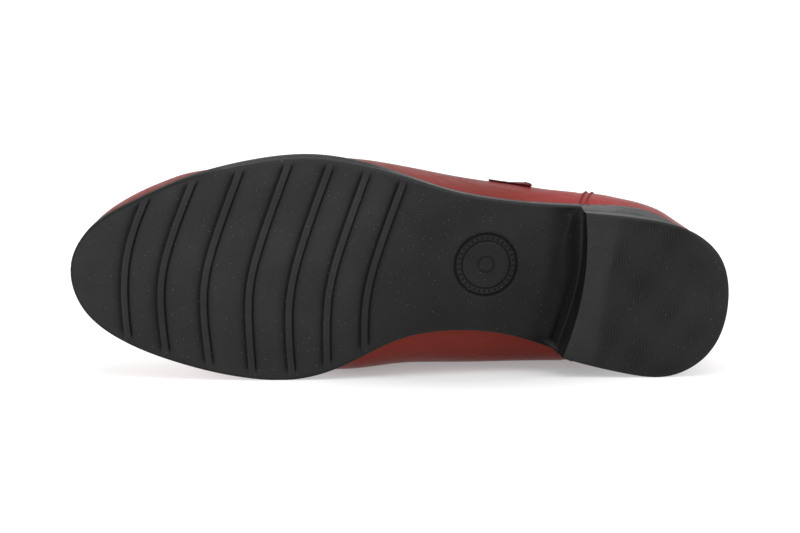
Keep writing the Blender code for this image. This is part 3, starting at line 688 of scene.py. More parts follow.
def sole_rungs():
    """The rungs from heel to toe, as one array for each of their fields."""
    block = LIFT_HEIGHT + LIFT_SEAM
    front = block_line(block)
    rungs = []
    for step in range(HEEL_STEPS + 1):
        share = 1.0 - math.cos(step / HEEL_STEPS * math.pi / 2.0)
        line = part_way(HEEL_TIP_X, front, share)
        rungs.append(Rung(line, np.full(line.shape, block), BLOCK_EDGE, heel=1.0))
    for z in np.linspace(block, BREAST[-1].z, BREAST_STEPS + 1)[1:]:
        line = block_line(z)
        rungs.append(Rung(line, ease_into_waist(line, z), BREAST_EDGE, heel=1.0))
    start = line
    last, steps = start, WAIST_STEPS
    lines = []
    for channel in CHANNELS:
        own = [(channel_line(channel, ahead), *values) for ahead, *values in CHANNEL_SECTION]
        lines += [(line, 0.0, 1.0) for line in between(last, own[0][0], steps)] + own
        last, steps = own[-1][0], LAND_STEPS
    for step in range(1, TOE_STEPS + 1):
        share = math.sin(step / TOE_STEPS * math.pi / 2.0)
        lines.append((part_way(last, TOE_TIP_X, share), 0.0, 1.0))
    steep = part_way(BREAST_CLIMB, CORNER_CLIMB, AT_CORNERS)
    for line, depth, crease_shade_and_edge_light in lines:
        full = part_way(EDGE_WIDTH_WAIST, EDGE_WIDTH, ramp(line[MIDDLE], *EDGE_WIDENS))
        grown = ramp(line[MIDDLE], start[MIDDLE], BREAST_EDGE_REACH)
        base = ease_into_waist(line, BREAST[-1].z + steep * (line - start))
        rungs.append(Rung(line, base, part_way(BREAST_EDGE, full, grown), 0.0, depth, crease_shade_and_edge_light))
    return [np.array(values) for values in zip(*rungs)]


def side_draft(rim, normal):
    """How far the forefoot's outer side slopes in, from the rim to the ground."""
    ends = ramp(rim[:, 0], *DRAFT_STARTS) * (1.0 - ramp(rim[:, 0], *DRAFT_ENDS))
    return SIDE_DRAFT * np.clip(normal[:, 1], 0.0, 1.0) * ends


def meet_side(lines, distances):
    """Distance round the sole where each line across it meets the foot of one of its sides.

    Beside the heel, the foot of a side is taken to be the rim itself.
    """
    rim, normal = outline_at(distances)
    inset = EDGE_WIDTH * ramp(rim[:, 0], *GROUND_STARTS) + side_draft(rim, normal)
    foot = rim - normal * inset[:, None]
    ahead = [foot[:, 0] - np.interp(foot[:, 1], LINE_Y, line) for line in lines]
    return np.array([np.interp(0.0, np.maximum.accumulate(a), distances) for a in ahead])


def read_rows(rows, y):
    """Values of rows given at LINE_Y, read at each row's own places."""
    return np.stack([np.interp(places, LINE_Y, row) for row, places in zip(rows, y)])


def edge_polish_and_light(points):
    """Polish of the sole's and heel's moulded sides, with painted highlight and painted shade."""
    x, y = points[..., 0], points[..., 1]
    outer = part_way(EDGE_FINISH, EDGE_FINISH_BACK, fall(x, *EDGE_BACK))
    painted_shade_side = np.maximum(fall(y, *EDGE_INNER), ramp(x, *EDGE_TOE))
    return part_way(outer, EDGE_INNER_PAINTED_SHADE, painted_shade_side)


def side_rows(distance, top, rounding, shares, base, width, height, draft=0.0, heel=1.0):
    """Points down a side, for each distance: a rounded rim, a wall, and a rounded lower edge.

    top and rounding are the rim's, and shares are the rows down the wall. base is the foot's
    height, width and height are the lower edge's own, and draft is how far the wall slopes in.
    heel is 1 where the side is tucked in as the heel is.
    """
    rim, normal = outline_at(distance)
    rows = [(rounding * (1.0 - math.sin(a)), top - rounding * (1.0 - math.cos(a)))
            for a in RIM_ANGLES]
    rows += [(draft * s, top - rounding + (base + height - top + rounding) * s) for s in shares]
    rows += [(draft + width * (1.0 - math.cos(a)), base + height * (1.0 - math.sin(a)))
             for a in EDGE_ANGLES]
    points = []
    for inset, z in rows:
        inset = inset + heel * heel_tuck(distance, z)
        points.append(with_height(rim - normal * inset[:, None], z))
    return np.stack(points, axis=1)


def sole_side(lines, base, edge, heel, distances):
    """Points down one side of the sole, from its rim to the underside, for every rung."""
    distance = meet_side(lines, distances)
    rim, normal = outline_at(distance)
    base_z = read_rows(base, rim[:, 1:2])[:, 0]
    return side_rows(distance, feather_height(rim[:, 0]), FEATHER_ROUND, WALL_SHARES, base_z, edge,
                     edge * EDGE_HEIGHT / EDGE_WIDTH, side_draft(rim, normal), heel)


def fill_across(start, end, lines, count):
    """Points along every line from one side of the sole to the other, in plan.

    Also returns how far each point lies from the start and from the end.
    """
    t = np.linspace(0.0, 1.0, count + 1)[None, :]
    length = np.linalg.norm(end - start, axis=1)[:, None]
    y = start[:, 1:2] * (1.0 - t) + end[:, 1:2] * t
    x = read_rows(lines, y)
    near_start = 1.0 - smooth_step(t * length / END_PULL)
    near_end = 1.0 - smooth_step((1.0 - t) * length / END_PULL)
    pull = near_start * (start[:, :1] - x[:, :1]) + near_end * (end[:, :1] - x[:, -1:])
    x = x + pull / np.maximum(1.0, near_start + near_end)
    return np.stack((x, y), axis=-1), t * length, (1.0 - t) * length


def wrap_round(top, inner, under, outer, tread):
    """Rings round the sole or the lift, and how scuffed they are: as tread says on the underside.

    Also returns the first column of the underside, and the column after its last.
    """
    rings = np.concatenate((top[:, 1:-1], inner, under[:, 1:-1], outer[:, ::-1]), axis=1)
    first = TOP_CELLS - 1 + inner.shape[1]
    last = first + under.shape[1] - 2
    wear_and_painted_light = edge_polish_and_light(rings)
    wear_and_painted_light[:, first:last] = tread[:, 1:-1]
    return rings, wear_and_painted_light, first, last


def breast_shade_and_light(x, y):
    """Share of the waist's tone near the breast and on it: painted shade and painted light."""
    ahead = x - np.interp(y, LINE_Y, breast_line(0.0))
    outer = ramp(y, *OUTER_SHARE)
    near = 1.0 - smooth_step(ahead / LIFT_GLOW_REACH)
    least = BREAST_PAINTED_SHADE + BREAST_OUTER * outer + (LIFT_GLOW + LIFT_GLOW_OUTER * outer) * near
    shift = BREAST_FADE_SHIFT * ramp(y, *BREAST_SHIFTS)
    grown = ramp(ahead, BREAST_FADE[0] - shift, BREAST_FADE[1] + shift)
    pale = ramp(ahead, *PALE_STARTS) * (1.0 - ramp(ahead, *PALE_ENDS))
    return part_way(least, 1.0, grown) * (1.0 + WAIST_PAINTED_LIGHT * outer * pale)


def make_sole(rubber):
    """The unit sole in fine mesh, with a hole where the ring mark sits."""
    lines, base, edge, heel, depth, crease_shade_and_edge_light = sole_rungs()
    outer, inner = (sole_side(lines, base, edge, heel, distances)
                    for _, distances in (OUTER_SIDE, INNER_SIDE))
    top, _, _ = fill_across(outer[:, 0, :2], inner[:, 0, :2], lines, TOP_CELLS)
    top = with_height(top, feather_height(top[:, :, 0]))
    under, from_inner, from_outer = fill_across(inner[:, -1, :2], outer[:, -1, :2], lines,
                                                BASE_CELLS)
    fade = smooth_step(from_inner / CHANNEL_FADE_INNER)
    fade = fade * smooth_step(from_outer / CHANNEL_FADE_OUTER)
    under = with_height(under, read_rows(base, under[:, :, 1]) + depth[:, None] * fade)
    waist = part_way(WAIST_FINISH, LAND_FINISH, ramp(lines[:, MIDDLE], *WAIST_FADE))
    # painted shade in the channel creases, painted highlight on the strips' edges
    tread = part_way(1.0, crease_shade_and_edge_light[:, None], fade)
    # painted shade towards the inner side, the lower one as the shoe lies
    tread *= part_way(INNER_SHADE_SHARE, 1.0, ramp(under[:, :, 1], *INNER_FADE))
    # painted shade into the hollow before the heel, painted light beside the lift
    tread *= waist[:, None] * breast_shade_and_light(under[:, :, 0], under[:, :, 1])
    rings, wear_and_painted_light, first, last = wrap_round(top, inner, under, outer, tread)
    # At the breast, the lower half of the rounded edge takes the painted shade of the underside
    # beside it.
    at_breast = np.logical_and(heel > 0.0, base[:, 0] > LIFT_HEIGHT + LIFT_SEAM)
    half = len(EDGE_ANGLES) // 2
    wear_and_painted_light[at_breast, first - half:first] = tread[at_breast, :1]
    wear_and_painted_light[at_breast, last:last + half] = tread[at_breast, -1:]
    faces = grid_faces(rings.shape, close_columns=True)
    middles = rings.reshape(-1, 3)[np.array(faces)].mean(axis=1)
    from_mark = np.hypot(middles[:, 0] - STAMP_AT[0], middles[:, 1] - STAMP_AT[1])
    under_sole = middles[:, 2] < waist_height(middles[:, 0]) + STAMP_ABOVE
    hole = (from_mark < STAMP_HOLE) & under_sole
    faces = [face for face, left_out in zip(faces, hole) if not left_out]
    sole = new_piece("sole", rings, faces, rubber, wear_and_painted_light)
    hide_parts("outsole")


# The ring mark: distance from its middle, and depth.
STAMP_SECTION = (
    (0.0, 0.0), (2.2, 0.0), (2.5, 0.05), (2.75, 0.24), (3.0, 0.3), (3.25, 0.24), (3.5, 0.05),
    (3.8, 0.0), (5.0, 0.0), (7.0, 0.0), (8.6, 0.0), (8.85, 0.05), (9.05, 0.3), (9.3, 0.42),
    (9.55, 0.3), (9.75, 0.05), (9.9, 0.0), (9.95, 0.0), (10.3, 0.0), (10.7, 0.0), (11.05, 0.0),
    (11.1, 0.0), (11.3, 0.05), (11.5, 0.35), (11.8, 0.55), (12.15, 0.55), (12.45, 0.35),
    (12.65, 0.05), (12.9, 0.0), (13.3, 0.0), (13.6, 0.0), (14.2, 0.03),
)
STAMP_BAND = (9.95, 11.05)     # the ticks lie between these distances
STAMP_TICKS = 32
STAMP_TICK_DEPTH = 0.3
STAMP_TICK_SLOPE = (0.1, 0.5)
STAMP_AROUND = 8 * STAMP_TICKS
STAMP_SHADE_DEPTH = 0.5              # depth where its grooves are painted darkest, as shade


def make_stamp(rubber):
    """A plain ring mark: three grooves, with a row of short ticks between the outer two."""
    radius, depth = (column[:, None] for column in np.array(STAMP_SECTION).T)
    angle = np.arange(STAMP_AROUND) / STAMP_AROUND * 2.0 * math.pi
    x = STAMP_AT[0] + radius * np.cos(angle)
    y = STAMP_AT[1] + radius * np.sin(angle)
    tick = STAMP_TICK_DEPTH * ramp(np.cos(angle * STAMP_TICKS), *STAMP_TICK_SLOPE)
    in_band = (radius >= STAMP_BAND[0]) & (radius <= STAMP_BAND[1])
    sunk = depth + in_band * tick
    points = np.stack((x, y, waist_height(x) + sunk), axis=-1)
    # the grooves are painted darker with depth, as shade
    wear_and_painted_light = WAIST_FINISH * (1.0 - smooth_step(sunk / STAMP_SHADE_DEPTH))
    faces = grid_faces(points.shape, close_columns=True)
    new_piece("ring_mark", points, faces, rubber, wear_and_painted_light)


# ------------------------------------------------------------ the heel lift

RIDGE_LEAN = 0.108         # the ridges lean forward towards the inner side
RIDGE_FRONT = 46.55        # where they start, as x + lean * y
RIDGE_PITCH = 1.1
RIDGE_DEPTH = 0.38
RIDGE_SAMPLES = 6
RIDGE_BACK = (9.0, 10.0)   # where the worn-away back ends, along x
RIDGE_WORN = (3.2, 2.4)    # how far in from the rim the ridges come back there
RIDGE_MARGIN = (1.2, 1.6)  # how far in from the rim they start on the inner side
RIDGE_OUT = 2.4            # how much nearer to the rim on the outer side
RIDGE_SHALLOW = (4.0, 18.0)
RIDGE_SHALLOWEST = 0.55
LIFT_EDGE = 0.5            # its rounded lower edge, and how wide and high that is at the back
LIFT_BACK_WIDTH = 3.6
LIFT_BACK_HEIGHT = 1.2
LIFT_RIM = 0.12
LIFT_UPRIGHT = 0.85        # how upright the lift stands at its inner front corner
LIFT_CELLS = 84
LIFT_BACK_SHARES = (0.0, 0.25, 0.5, 0.75)
LIFT_FRONT_STEPS = 10
LIFT_FRONT_LAST = (0.988, 1.0)
LIFT_CLIMB = (0.02, 0.1, 0.25, 0.4, 0.55, 0.7, 0.85, 0.97, 1.0)   # steps up its front
LIFT_SHADE = 0.32          # painted shade: how much darker its ridged part is, grooves further
LIFT_GROOVE_SHADE = 0.2
LIFT_SHADE_ENDS = (RIDGE_FRONT + 4.0, 7.0)
LIFT_INNER_DARK = 0.15     # painted shade: how much darker its inner, lower side is
LIFT_INNER_FADE = (-28.0, 25.0)
LIFT_SIDES = side_tables(RIDGE_LEAN)


def lift_rungs():
    """Rungs over the lift's ridges in x + lean * y, from its back to the first ridge."""
    tip = LIFT_SIDES[0][0][0]
    fine = RIDGE_PITCH / RIDGE_SAMPLES
    count = int((RIDGE_FRONT - tip) / fine)
    lines = [np.full(3, RIDGE_FRONT - fine * step) for step in range(count, -1, -1)]
    back = [np.full(3, part_way(tip, lines[0][0], share ** 2)) for share in LIFT_BACK_SHARES]
    return back + lines


def front_rung(z):
    """The lift's front edge at a height, in x + lean * y: outer side, middle, inner side."""
    outer_x, middle_x, inner_x = breast_at(z)
    outer_y, inner_y = side_y(outer_x, OUTER_SIDE), side_y(inner_x, INNER_SIDE)
    return (np.array([outer_x, middle_x, inner_x])
            + RIDGE_LEAN * np.array([outer_y, (outer_y + inner_y) / 2.0, inner_y]))


def front_rungs(start):
    """Rungs over the plain band from the last ridge to the lift's front edge."""
    shares = list(np.linspace(0.0, 1.0, LIFT_FRONT_STEPS + 1)[1:-1])
    return [part_way(start, front_rung(0.0), share) for share in (*shares, *LIFT_FRONT_LAST)]


def ridge_depth(place):
    """Depth of the ridges under the lift at points in plan; they are worn away at the back."""
    x, y = place[..., 0], place[..., 1]
    back = RIDGE_FRONT - (x + RIDGE_LEAN * y)
    wave = 0.5 - 0.5 * np.cos(back / RIDGE_PITCH * 2.0 * math.pi)
    away = from_outline(place, samples=500)
    keep = 1.0 - (1.0 - ramp(x, *RIDGE_BACK)) * (1.0 - ramp(away, *RIDGE_WORN))
    keep *= ramp(away + RIDGE_OUT * (y > 0.0), *RIDGE_MARGIN)
    patches = 0.6 + 0.4 * np.sin(x * 0.31 + 0.9) * np.sin(y * 0.23 + x * 0.11)
    depth = patches * part_way(RIDGE_SHALLOWEST, 1.0, ramp(x, *RIDGE_SHALLOW))
    return RIDGE_DEPTH * wave * keep * depth * (back > 0.0)


def across_lift(start, end, lines, count):
    """Points of bowed lines from one side of the lift to the other, in plan."""
    t = np.linspace(0.0, 1.0, count + 1)
    points = join(start, end, t)
    bow = lines[:, 1] - (lines[:, 0] + lines[:, 2]) / 2.0
    points[:, :, 0] += bow[:, None] * (4.0 * t * (1.0 - t))[None, :]
    return points


def front_lean(y, inner_y, outer_y):
    """How far the lift's front leans forward over its height, at some y."""
    outer, middle, inner = front_rung(LIFT_HEIGHT) - front_rung(0.0)
    t = (y - inner_y) / (outer_y - inner_y)
    upright = 1.0 - smooth_step(t * (outer_y - inner_y) / INNER_CORNER_REACH)
    return bowed(inner, middle, outer, t) * (1.0 - LIFT_UPRIGHT * upright)


def make_lift(rubber):
    """The heel lift with its ridged ground face and its hollow front."""
    lines = lift_rungs()
    ridged = len(lines)
    lines = np.array(lines + front_rungs(lines[-1]))
    back = 1.0 - smooth_step(lines[:, 1] / HEEL_ROUND)
    width = part_way(LIFT_EDGE, LIFT_BACK_WIDTH, back)
    height = part_way(LIFT_EDGE, LIFT_BACK_HEIGHT, back)
    outer, inner = (side_rows(np.interp(lines[:, column], *side), LIFT_HEIGHT, LIFT_RIM, (), 0.0,
                              width, height) for column, side in zip((0, 2), LIFT_SIDES))
    ground = across_lift(inner[:, -1, :2], outer[:, -1, :2], lines, LIFT_CELLS)
    depth = ridge_depth(ground)
    depth[ridged:] = 0.0
    top = with_height(across_lift(outer[:, 0, :2], inner[:, 0, :2], lines, TOP_CELLS), LIFT_HEIGHT)
    under = with_height(ground, depth)
    shaded = fall(lines[:, 1], *LIFT_SHADE_ENDS)[:, None]
    tread = LAND_FINISH - shaded * (LIFT_SHADE + LIFT_GROOVE_SHADE * depth / RIDGE_DEPTH)
    tread *= 1.0 - LIFT_INNER_DARK * (1.0 - ramp(ground[:, :, 1], *LIFT_INNER_FADE))
    rings, wear_and_painted_light, first, last = wrap_round(top, inner, under, outer, tread)
    # The wide rounded edge at the back takes the tone of the ground face beside it, painted shade
    # too.
    round_it = len(EDGE_ANGLES)
    for edge, beside in ((slice(first - round_it, first), tread[:, :1]),
                         (slice(last, last + round_it), tread[:, -1:])):
        wear_and_painted_light[:, edge] = part_way(wear_and_painted_light[:, edge], beside, back[:, None])
    band = (lines[:, 1] - lines[ridged, 1]) / (lines[-1, 1] - lines[ridged, 1])
    lean = front_lean(rings[..., 1], inner[-1, 0, 1], outer[-1, 0, 1])
    lean *= smooth_step(band)[:, None] / LIFT_HEIGHT
    rings[:, :, 0] += lean * rings[:, :, 2]
    rise = np.array(LIFT_CLIMB)[:, None] * (LIFT_HEIGHT - rings[-1, :, 2])[None, :]
    climb = np.repeat(rings[-1:], len(LIFT_CLIMB), axis=0)
    climb[:, :, 2] += rise
    climb[:, :, 0] += lean[-1] * rise
    rings = np.concatenate((rings, climb))
    # the lift's front is painted dark, as shade in the hollow before the heel
    wear_and_painted_light = np.concatenate((wear_and_painted_light, np.full(climb.shape[:2], LIFT_GLOW)))
    faces = grid_faces(rings.shape, close_columns=True)
    lift = new_piece("lift", rings, faces, rubber, wear_and_painted_light)
    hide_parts("heel_lift")


# ------------------------------------------------------------ the upper

UPPER_AROUND = 620         # columns round the shoe, and rows up its wall
UPPER_ROWS = 84
ROLL_STEPS = 9             # rows over the rolled top edge
TOP_V = 0.988              # where the wall turns over into the rolled top edge
FACING_V = 0.87            # how far the leather reaches down inside the collar
FACING_ROWS = 10
LINING_ROWS = 44
LINING_SKIN = 0.18         # the lining lies this much behind the leather facing
LINING_LAP = 0.02          # and reaches this far up behind it
FOOT_SINK = 0.3            # how far the leather's lowest row sinks into the sole
TUCK = 0.5                 # how far it draws in at the feather line, twice that at the heel
TUCK_SHARE = 0.035         # shares of its height over which it does so
HEEL_TUCK_SHARE = 0.08
HEEL_TUCK = (75.0, 30.0)   # where along x that starts
RELIEF_FADE = (0.03, 0.04)      # shares of its height over which relief fades, below and above
SEAM_FOOT = (57.4, 24.0)   # x and height where the counter seam starts
SEAM_SLOPE = -0.175
COUNTER_PROUD = 0.3        # how far the counter stands out, and where its edge starts to rise
COUNTER_STEP = (-1.1, 0.7)
OUTER_QUARTER = (5.0, 12.0)     # where along y the outer side's own creases set in
# Rows for humps(): middle, reach and height. The swells and the painted highlight spots follow x.
SEAM_SINK = ((2.0, 1.1, -0.25),)     # ahead of the seam
OUTER_SWELLS = ((24.0, 6.0, 0.5), (39.0, 5.0, -0.25), (81.0, 16.0, 0.45), (82.0, 8.0, 0.5),
                (211.0, 7.0, 0.4), (236.0, 8.0, -0.6))
WRINKLES_BEHIND = ((6.5, 4.5, 0.16),)    # behind the seam
WRINKLES_HIGH = ((29.0, 4.5, 1.0),)      # and at this height
PAINTED_LIGHT_SHARE = 0.18          # painted highlight: how pale the outer side is all along
# painted highlight spots over the outer counter and near the joint
PAINTED_HIGHLIGHT_SPOTS = ((52.0, 24.0, 0.65), (116.0, 12.0, 0.12))
PAINTED_LIGHT_SIDE = (-5.0, 25.0)


def seam_x(z):
    """x of the counter seam at a height."""
    return SEAM_FOOT[0] + SEAM_SLOPE * (z - SEAM_FOOT[1])


def relief(points):
    """How far the leather stands out from its smooth form: counter overlay and soft creases."""
    x, y, z = points[..., 0], points[..., 1], points[..., 2]
    behind = seam_x(z) - x
    outer = ramp(y, *OUTER_QUARTER)
    counter = COUNTER_PROUD * ramp(behind, *COUNTER_STEP)
    wrinkle = humps(behind, WRINKLES_BEHIND) * humps(z, WRINKLES_HIGH)
    wrinkle = wrinkle * np.sin(behind * 2.1 + z * 0.9)
    swell = 0.22 * np.sin(x * 0.071 + 1.3) * np.sin(z * 0.11 + y * 0.05 + 0.4)
    ripple = 0.07 * np.sin(x * 0.19 + z * 0.13) * np.sin(y * 0.17 - z * 0.21 + 2.0)
    soft = counter + humps(-behind, SEAM_SINK) + swell + ripple
    return soft + (wrinkle + humps(x, OUTER_SWELLS)) * outer


def painted_highlight(points):
    """Painted highlight: a little on the outer side, most over the outer counter."""
    share = PAINTED_LIGHT_SHARE + humps(points[..., 0], PAINTED_HIGHLIGHT_SPOTS)
    return share * ramp(points[..., 1], *PAINTED_LIGHT_SIDE)


def make_upper(leather):
    """The leather upper: one skin from the feather line over the rolled collar to its facing."""
    distance = np.arange(UPPER_AROUND) / UPPER_AROUND * PERIMETER
    share = np.linspace(0.0, 1.0, UPPER_ROWS + 1)
    outer = wall_at(distance, share * TOP_V)
    normal = wall_normal(distance, share * TOP_V)
    fade = smooth_step(share / RELIEF_FADE[0]) * smooth_step((1.0 - share) / RELIEF_FADE[1])
    deeper = fall(outer[:, :1, 0], *HEEL_TUCK) * (1.0 - smooth_step(share / HEEL_TUCK_SHARE))
    tuck = TUCK * (1.0 - smooth_step(share / TUCK_SHARE)) + TUCK * deeper
    outer = outer + normal * (relief(outer) * fade[None, :] - tuck)[:, :, None]
    top = outer[:, -1]
    out = normal[:, -1]
    up = unit((wall_at(distance, [TOP_V + RISE]) - wall_at(distance, [TOP_V - RISE]))[:, 0])
    half = WALL / 2.0
    roll = np.stack([top - out * half * (1.0 - math.cos(a)) + up * half * math.sin(a)
                     for a in np.linspace(0.0, math.pi, ROLL_STEPS + 2)[1:-1]], axis=1)
    inner_v = np.linspace(TOP_V, FACING_V, FACING_ROWS)
    inner = wall_at(distance, inner_v) - wall_normal(distance, inner_v) * WALL
    points = np.concatenate((outer, roll, inner), axis=1)
    points[:, 0, 2] -= GAP + FOOT_SINK
    faces = grid_faces(points.shape, close_rows=True, flip=True)
    upper = new_piece("upper_leather", points, faces, leather, painted_highlight(points))
    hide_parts("upper")


def make_lining_piece(lining):
    """The lining inside the upper, from the facing down to the insole."""
    distance = np.arange(UPPER_AROUND // 2) / (UPPER_AROUND // 2) * PERIMETER
    v = np.linspace(FACING_V + LINING_LAP, 0.0, LINING_ROWS)
    points = wall_at(distance, v) - wall_normal(distance, v) * (WALL - LINING_SKIN)
    faces = grid_faces(points.shape, close_rows=True, flip=True)
    new_piece("lining_skin", points, faces, lining)


# ------------------------------------------------------------ the sock lining

SOCK_ALONG = 150
SOCK_ACROSS = 40
SOCK_RISE = 3.2            # top of the footbed over the feather line
SOCK_CUP = 2.4             # how far its rim turns up
SOCK_CUP_REACH = (3.0, 9.0)
SOCK_SIDE_V = 0.075
SOCK_CLEAR = 0.25


def sock_edge(distance):
    """Edge of the footbed, just inside the lining."""
    v = np.full((len(distance), 1), SOCK_SIDE_V)
    return (wall_at(distance, v) - wall_normal(distance, v) * (WALL + SOCK_CLEAR))[:, 0]


def make_sock(lining):
    """The footbed: flat in the middle, with a rim that turns up to the lining."""
    share = (1.0 - np.cos(np.linspace(0.0, math.pi, SOCK_ALONG + 1))) / 2.0
    x = part_way(HEEL_TIP_X, TOE_TIP_X, share)
    outer, inner = (sock_edge(np.interp(x, *side)) for side in (OUTER_SIDE, INNER_SIDE))
    plan = join(outer[:, :2], inner[:, :2], np.linspace(0.0, 1.0, SOCK_ACROSS + 1))
    cup = SOCK_CUP * (1.0 - ramp(from_outline(plan, samples=400), *SOCK_CUP_REACH))
    points = with_height(plan, feather_height(plan[:, :, 0]) + SOCK_RISE + cup)
    faces = grid_faces(points.shape)
    sock = new_piece("footbed", points, faces, lining)
    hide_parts("insole")


# ------------------------------------------------------------ the strap

STRAP_END = 0.64           # where its outer end stops, from feather line 0 to collar 1
STRAP_SLANT = 0.07         # how much its front corner ends above the middle, the rear below
STRAP_CORNER = 2.5
STRAP_PRESSED = 0.08       # share of its thickness left where it is pressed to the quarter
STRAP_PRESS_START = 3.0    # how far behind its rear edge the pressing would start
STRAP_FREE = (0.8, 0.4)    # where along its outer leg it gets thick again
STRAP_SINK = 0.15          # how much the pressed part sinks into the quarter
STRAP_LEG_STEPS = 26       # steps down each side, and over the foot
STRAP_ARCH_STEPS = 60
STRAP_CELLS = 20
STRAP_EDGE_STEPS = 6       # steps round its long edges, and the angles of its ends' rows
STRAP_CAP_ANGLES = np.radians((30.0, 60.0, 85.0))
STRAP_SEAT = 0.12          # clearance between the strap and the quarter
STRAP_NUDGE = 0.2          # a small step across it, that its slope comes from
WALL_TALL = 38.0           # length of the quarter from feather line to collar, at the strap


def strap_end_v(offset):
    """Where the strap's outer end lies, across its width, with rounded corners."""
    half = STRAP_WIDTH / 2.0
    reach = np.clip(np.abs(offset) - (half - STRAP_CORNER), 0.0, STRAP_CORNER - 0.01)
    corner = STRAP_CORNER - math.sqrt(STRAP_CORNER ** 2 - reach ** 2)
    return STRAP_END + STRAP_SLANT * offset / half + corner / WALL_TALL


def strap_column(offset):
    """Underside of the strap along its length, at one offset from its middle line."""
    outer_at = np.interp(STRAP_X, *OUTER_SIDE) + offset
    inner_at = np.interp(STRAP_X, *INNER_SIDE) - offset
    v = np.linspace(strap_end_v(offset), 1.0, STRAP_LEG_STEPS + 1)
    normal = wall_normal(outer_at, v)[0]
    outer_leg = wall_at(outer_at, v)[0] + normal * STRAP_SEAT
    outer_leg = outer_leg + normal * relief(outer_leg)[:, None]
    v = np.linspace(1.0, STRAP_INNER_END, STRAP_LEG_STEPS // 2)
    inward = WALL + GAP + STRAP_THICKNESS
    inner_leg = wall_at(inner_at, v)[0] - wall_normal(inner_at, v)[0] * inward
    start, end = outer_leg[-1], inner_leg[0]
    low = start + unit(start - outer_leg[-2]) * STRAP_ARCH
    high = end + unit(end - inner_leg[1]) * STRAP_ARCH
    t = np.linspace(0.0, 1.0, STRAP_ARCH_STEPS + 1)[1:-1, None]
    return np.concatenate((outer_leg, bezier(t, start, low, high, end), inner_leg))


def strap_section():
    """Offsets across the strap and heights over its underside, round its section."""
    radius = STRAP_THICKNESS / 2.0
    half = STRAP_WIDTH / 2.0 - radius
    flat = np.linspace(-half, half, STRAP_CELLS + 1)
    turn = np.radians(np.linspace(-90.0, 90.0, STRAP_EDGE_STEPS + 2)[1:-1])
    ring = [(a, 0.0) for a in flat]
    ring += [(half + radius * math.cos(a), radius + radius * math.sin(a)) for a in turn]
    ring += [(a, STRAP_THICKNESS) for a in flat[::-1]]
    ring += [(-half - radius * math.cos(a), radius - radius * math.sin(a)) for a in turn]
    return np.array(ring).T


def strap_thinning(offset, rows):
    """Share of the full thickness: beside the shoe the strap thins towards its front edge."""
    thinned = ramp(offset, -STRAP_WIDTH / 2.0 - STRAP_PRESS_START, STRAP_WIDTH)
    free = ramp(np.arange(rows) / STRAP_LEG_STEPS, *STRAP_FREE)
    return part_way(part_way(1.0, STRAP_PRESSED, thinned), 1.0, free)


def strap_surface(offsets):
    """Underside points and outward normals of the strap, for offsets from its middle line."""
    under = np.stack([strap_column(a) for a in offsets], axis=1)
    ahead = np.stack([strap_column(a + STRAP_NUDGE) for a in offsets], axis=1)
    return under, unit(np.cross(np.gradient(under, axis=0), ahead - under))


def make_strap(leather):
    """The instep strap with rounded edges and closed ends."""
    offsets, heights = strap_section()
    under, normal = strap_surface(offsets)
    thin = np.stack([strap_thinning(a, len(under)) for a in offsets], axis=1)
    rings = under + normal * (thin * heights - STRAP_SINK * (1.0 - thin))[:, :, None]
    half = STRAP_THICKNESS / 2.0
    caps = []
    for end, inside in ((0, 1), (-1, -2)):
        outward = unit(rings[end] - rings[inside])
        middle = under[end] + normal[end] * half
        caps.append([middle + (rings[end] - middle) * math.cos(a) + outward * half * math.sin(a)
                     for a in STRAP_CAP_ANGLES])
    rings = np.concatenate((caps[0][::-1], rings, caps[1]))
    rows, columns = rings.shape[:2]
    faces = grid_faces(rings.shape, close_columns=True)
    faces.append(list(range(columns - 1, -1, -1)))
    faces.append([(rows - 1) * columns + j for j in range(columns)])
    strap = new_piece("strap_leather", rings, faces, leather)
    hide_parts("strap")


# ------------------------------------------------------------ stitching

STITCH_AROUND = 8          # points round and along one stitch
STITCH_ALONG = 7
STITCH_RISE = 0.4          # how high its middle stands, as a share of its radius
STITCH_DIP = 1.1           # how far its ends are pulled down from there, and how much thinner
STITCH_TAPER = 0.55
COLLAR_SAMPLES = 1200
COLLAR_LOW_V = 0.90
COLLAR_INSET = 2.4         # how far the collar's stitches lie under its edge
SEAM_SPAN = (30.0, 75.0)   # where the counter seam is looked for, along x
SEAM_SAMPLES = (120, 60)   # along the side, and up the wall
SEAM_ENDS = (0.02, TOP_V - 0.03)
SEAM_ROWS = ((0.3, "front"), (2.7, "back"))   # distance behind the counter's edge
STRAP_STITCH_INSET = 2.0
STRAP_STITCH_ROWS = slice(2, -14)   # the part of the strap's length that is stitched

Stitch = namedtuple("Stitch", "pitch fill radius")
COLLAR_STITCH = Stitch(2.5, 0.74, 0.2)
SEAM_STITCHES = (("outer", OUTER_SIDE, Stitch(2.3, 0.92, 0.44)),
                 ("inner", INNER_SIDE, Stitch(2.3, 0.92, 0.28)))
STRAP_STITCH = Stitch(2.4, 0.74, 0.16)


def stitch_points(start, end, normal, radius):
    """One stitch: a short rounded thread, pulled down at both ends."""
    length = np.linalg.norm(end - start)
    along = unit(end - start)
    side = np.cross(normal, along)
    rows = []
    for t in np.linspace(-1.0, 1.0, STITCH_ALONG):
        middle = (start + end) / 2.0 + along * t * length / 2.0
        middle = middle + normal * radius * (STITCH_RISE - STITCH_DIP * t * t)
        size = radius * (1.0 - STITCH_TAPER * t ** 4)
        for a in np.arange(STITCH_AROUND) / STITCH_AROUND * 2.0 * math.pi:
            rows.append(middle + side * size * math.cos(a) + normal * size * math.sin(a))
    return rows


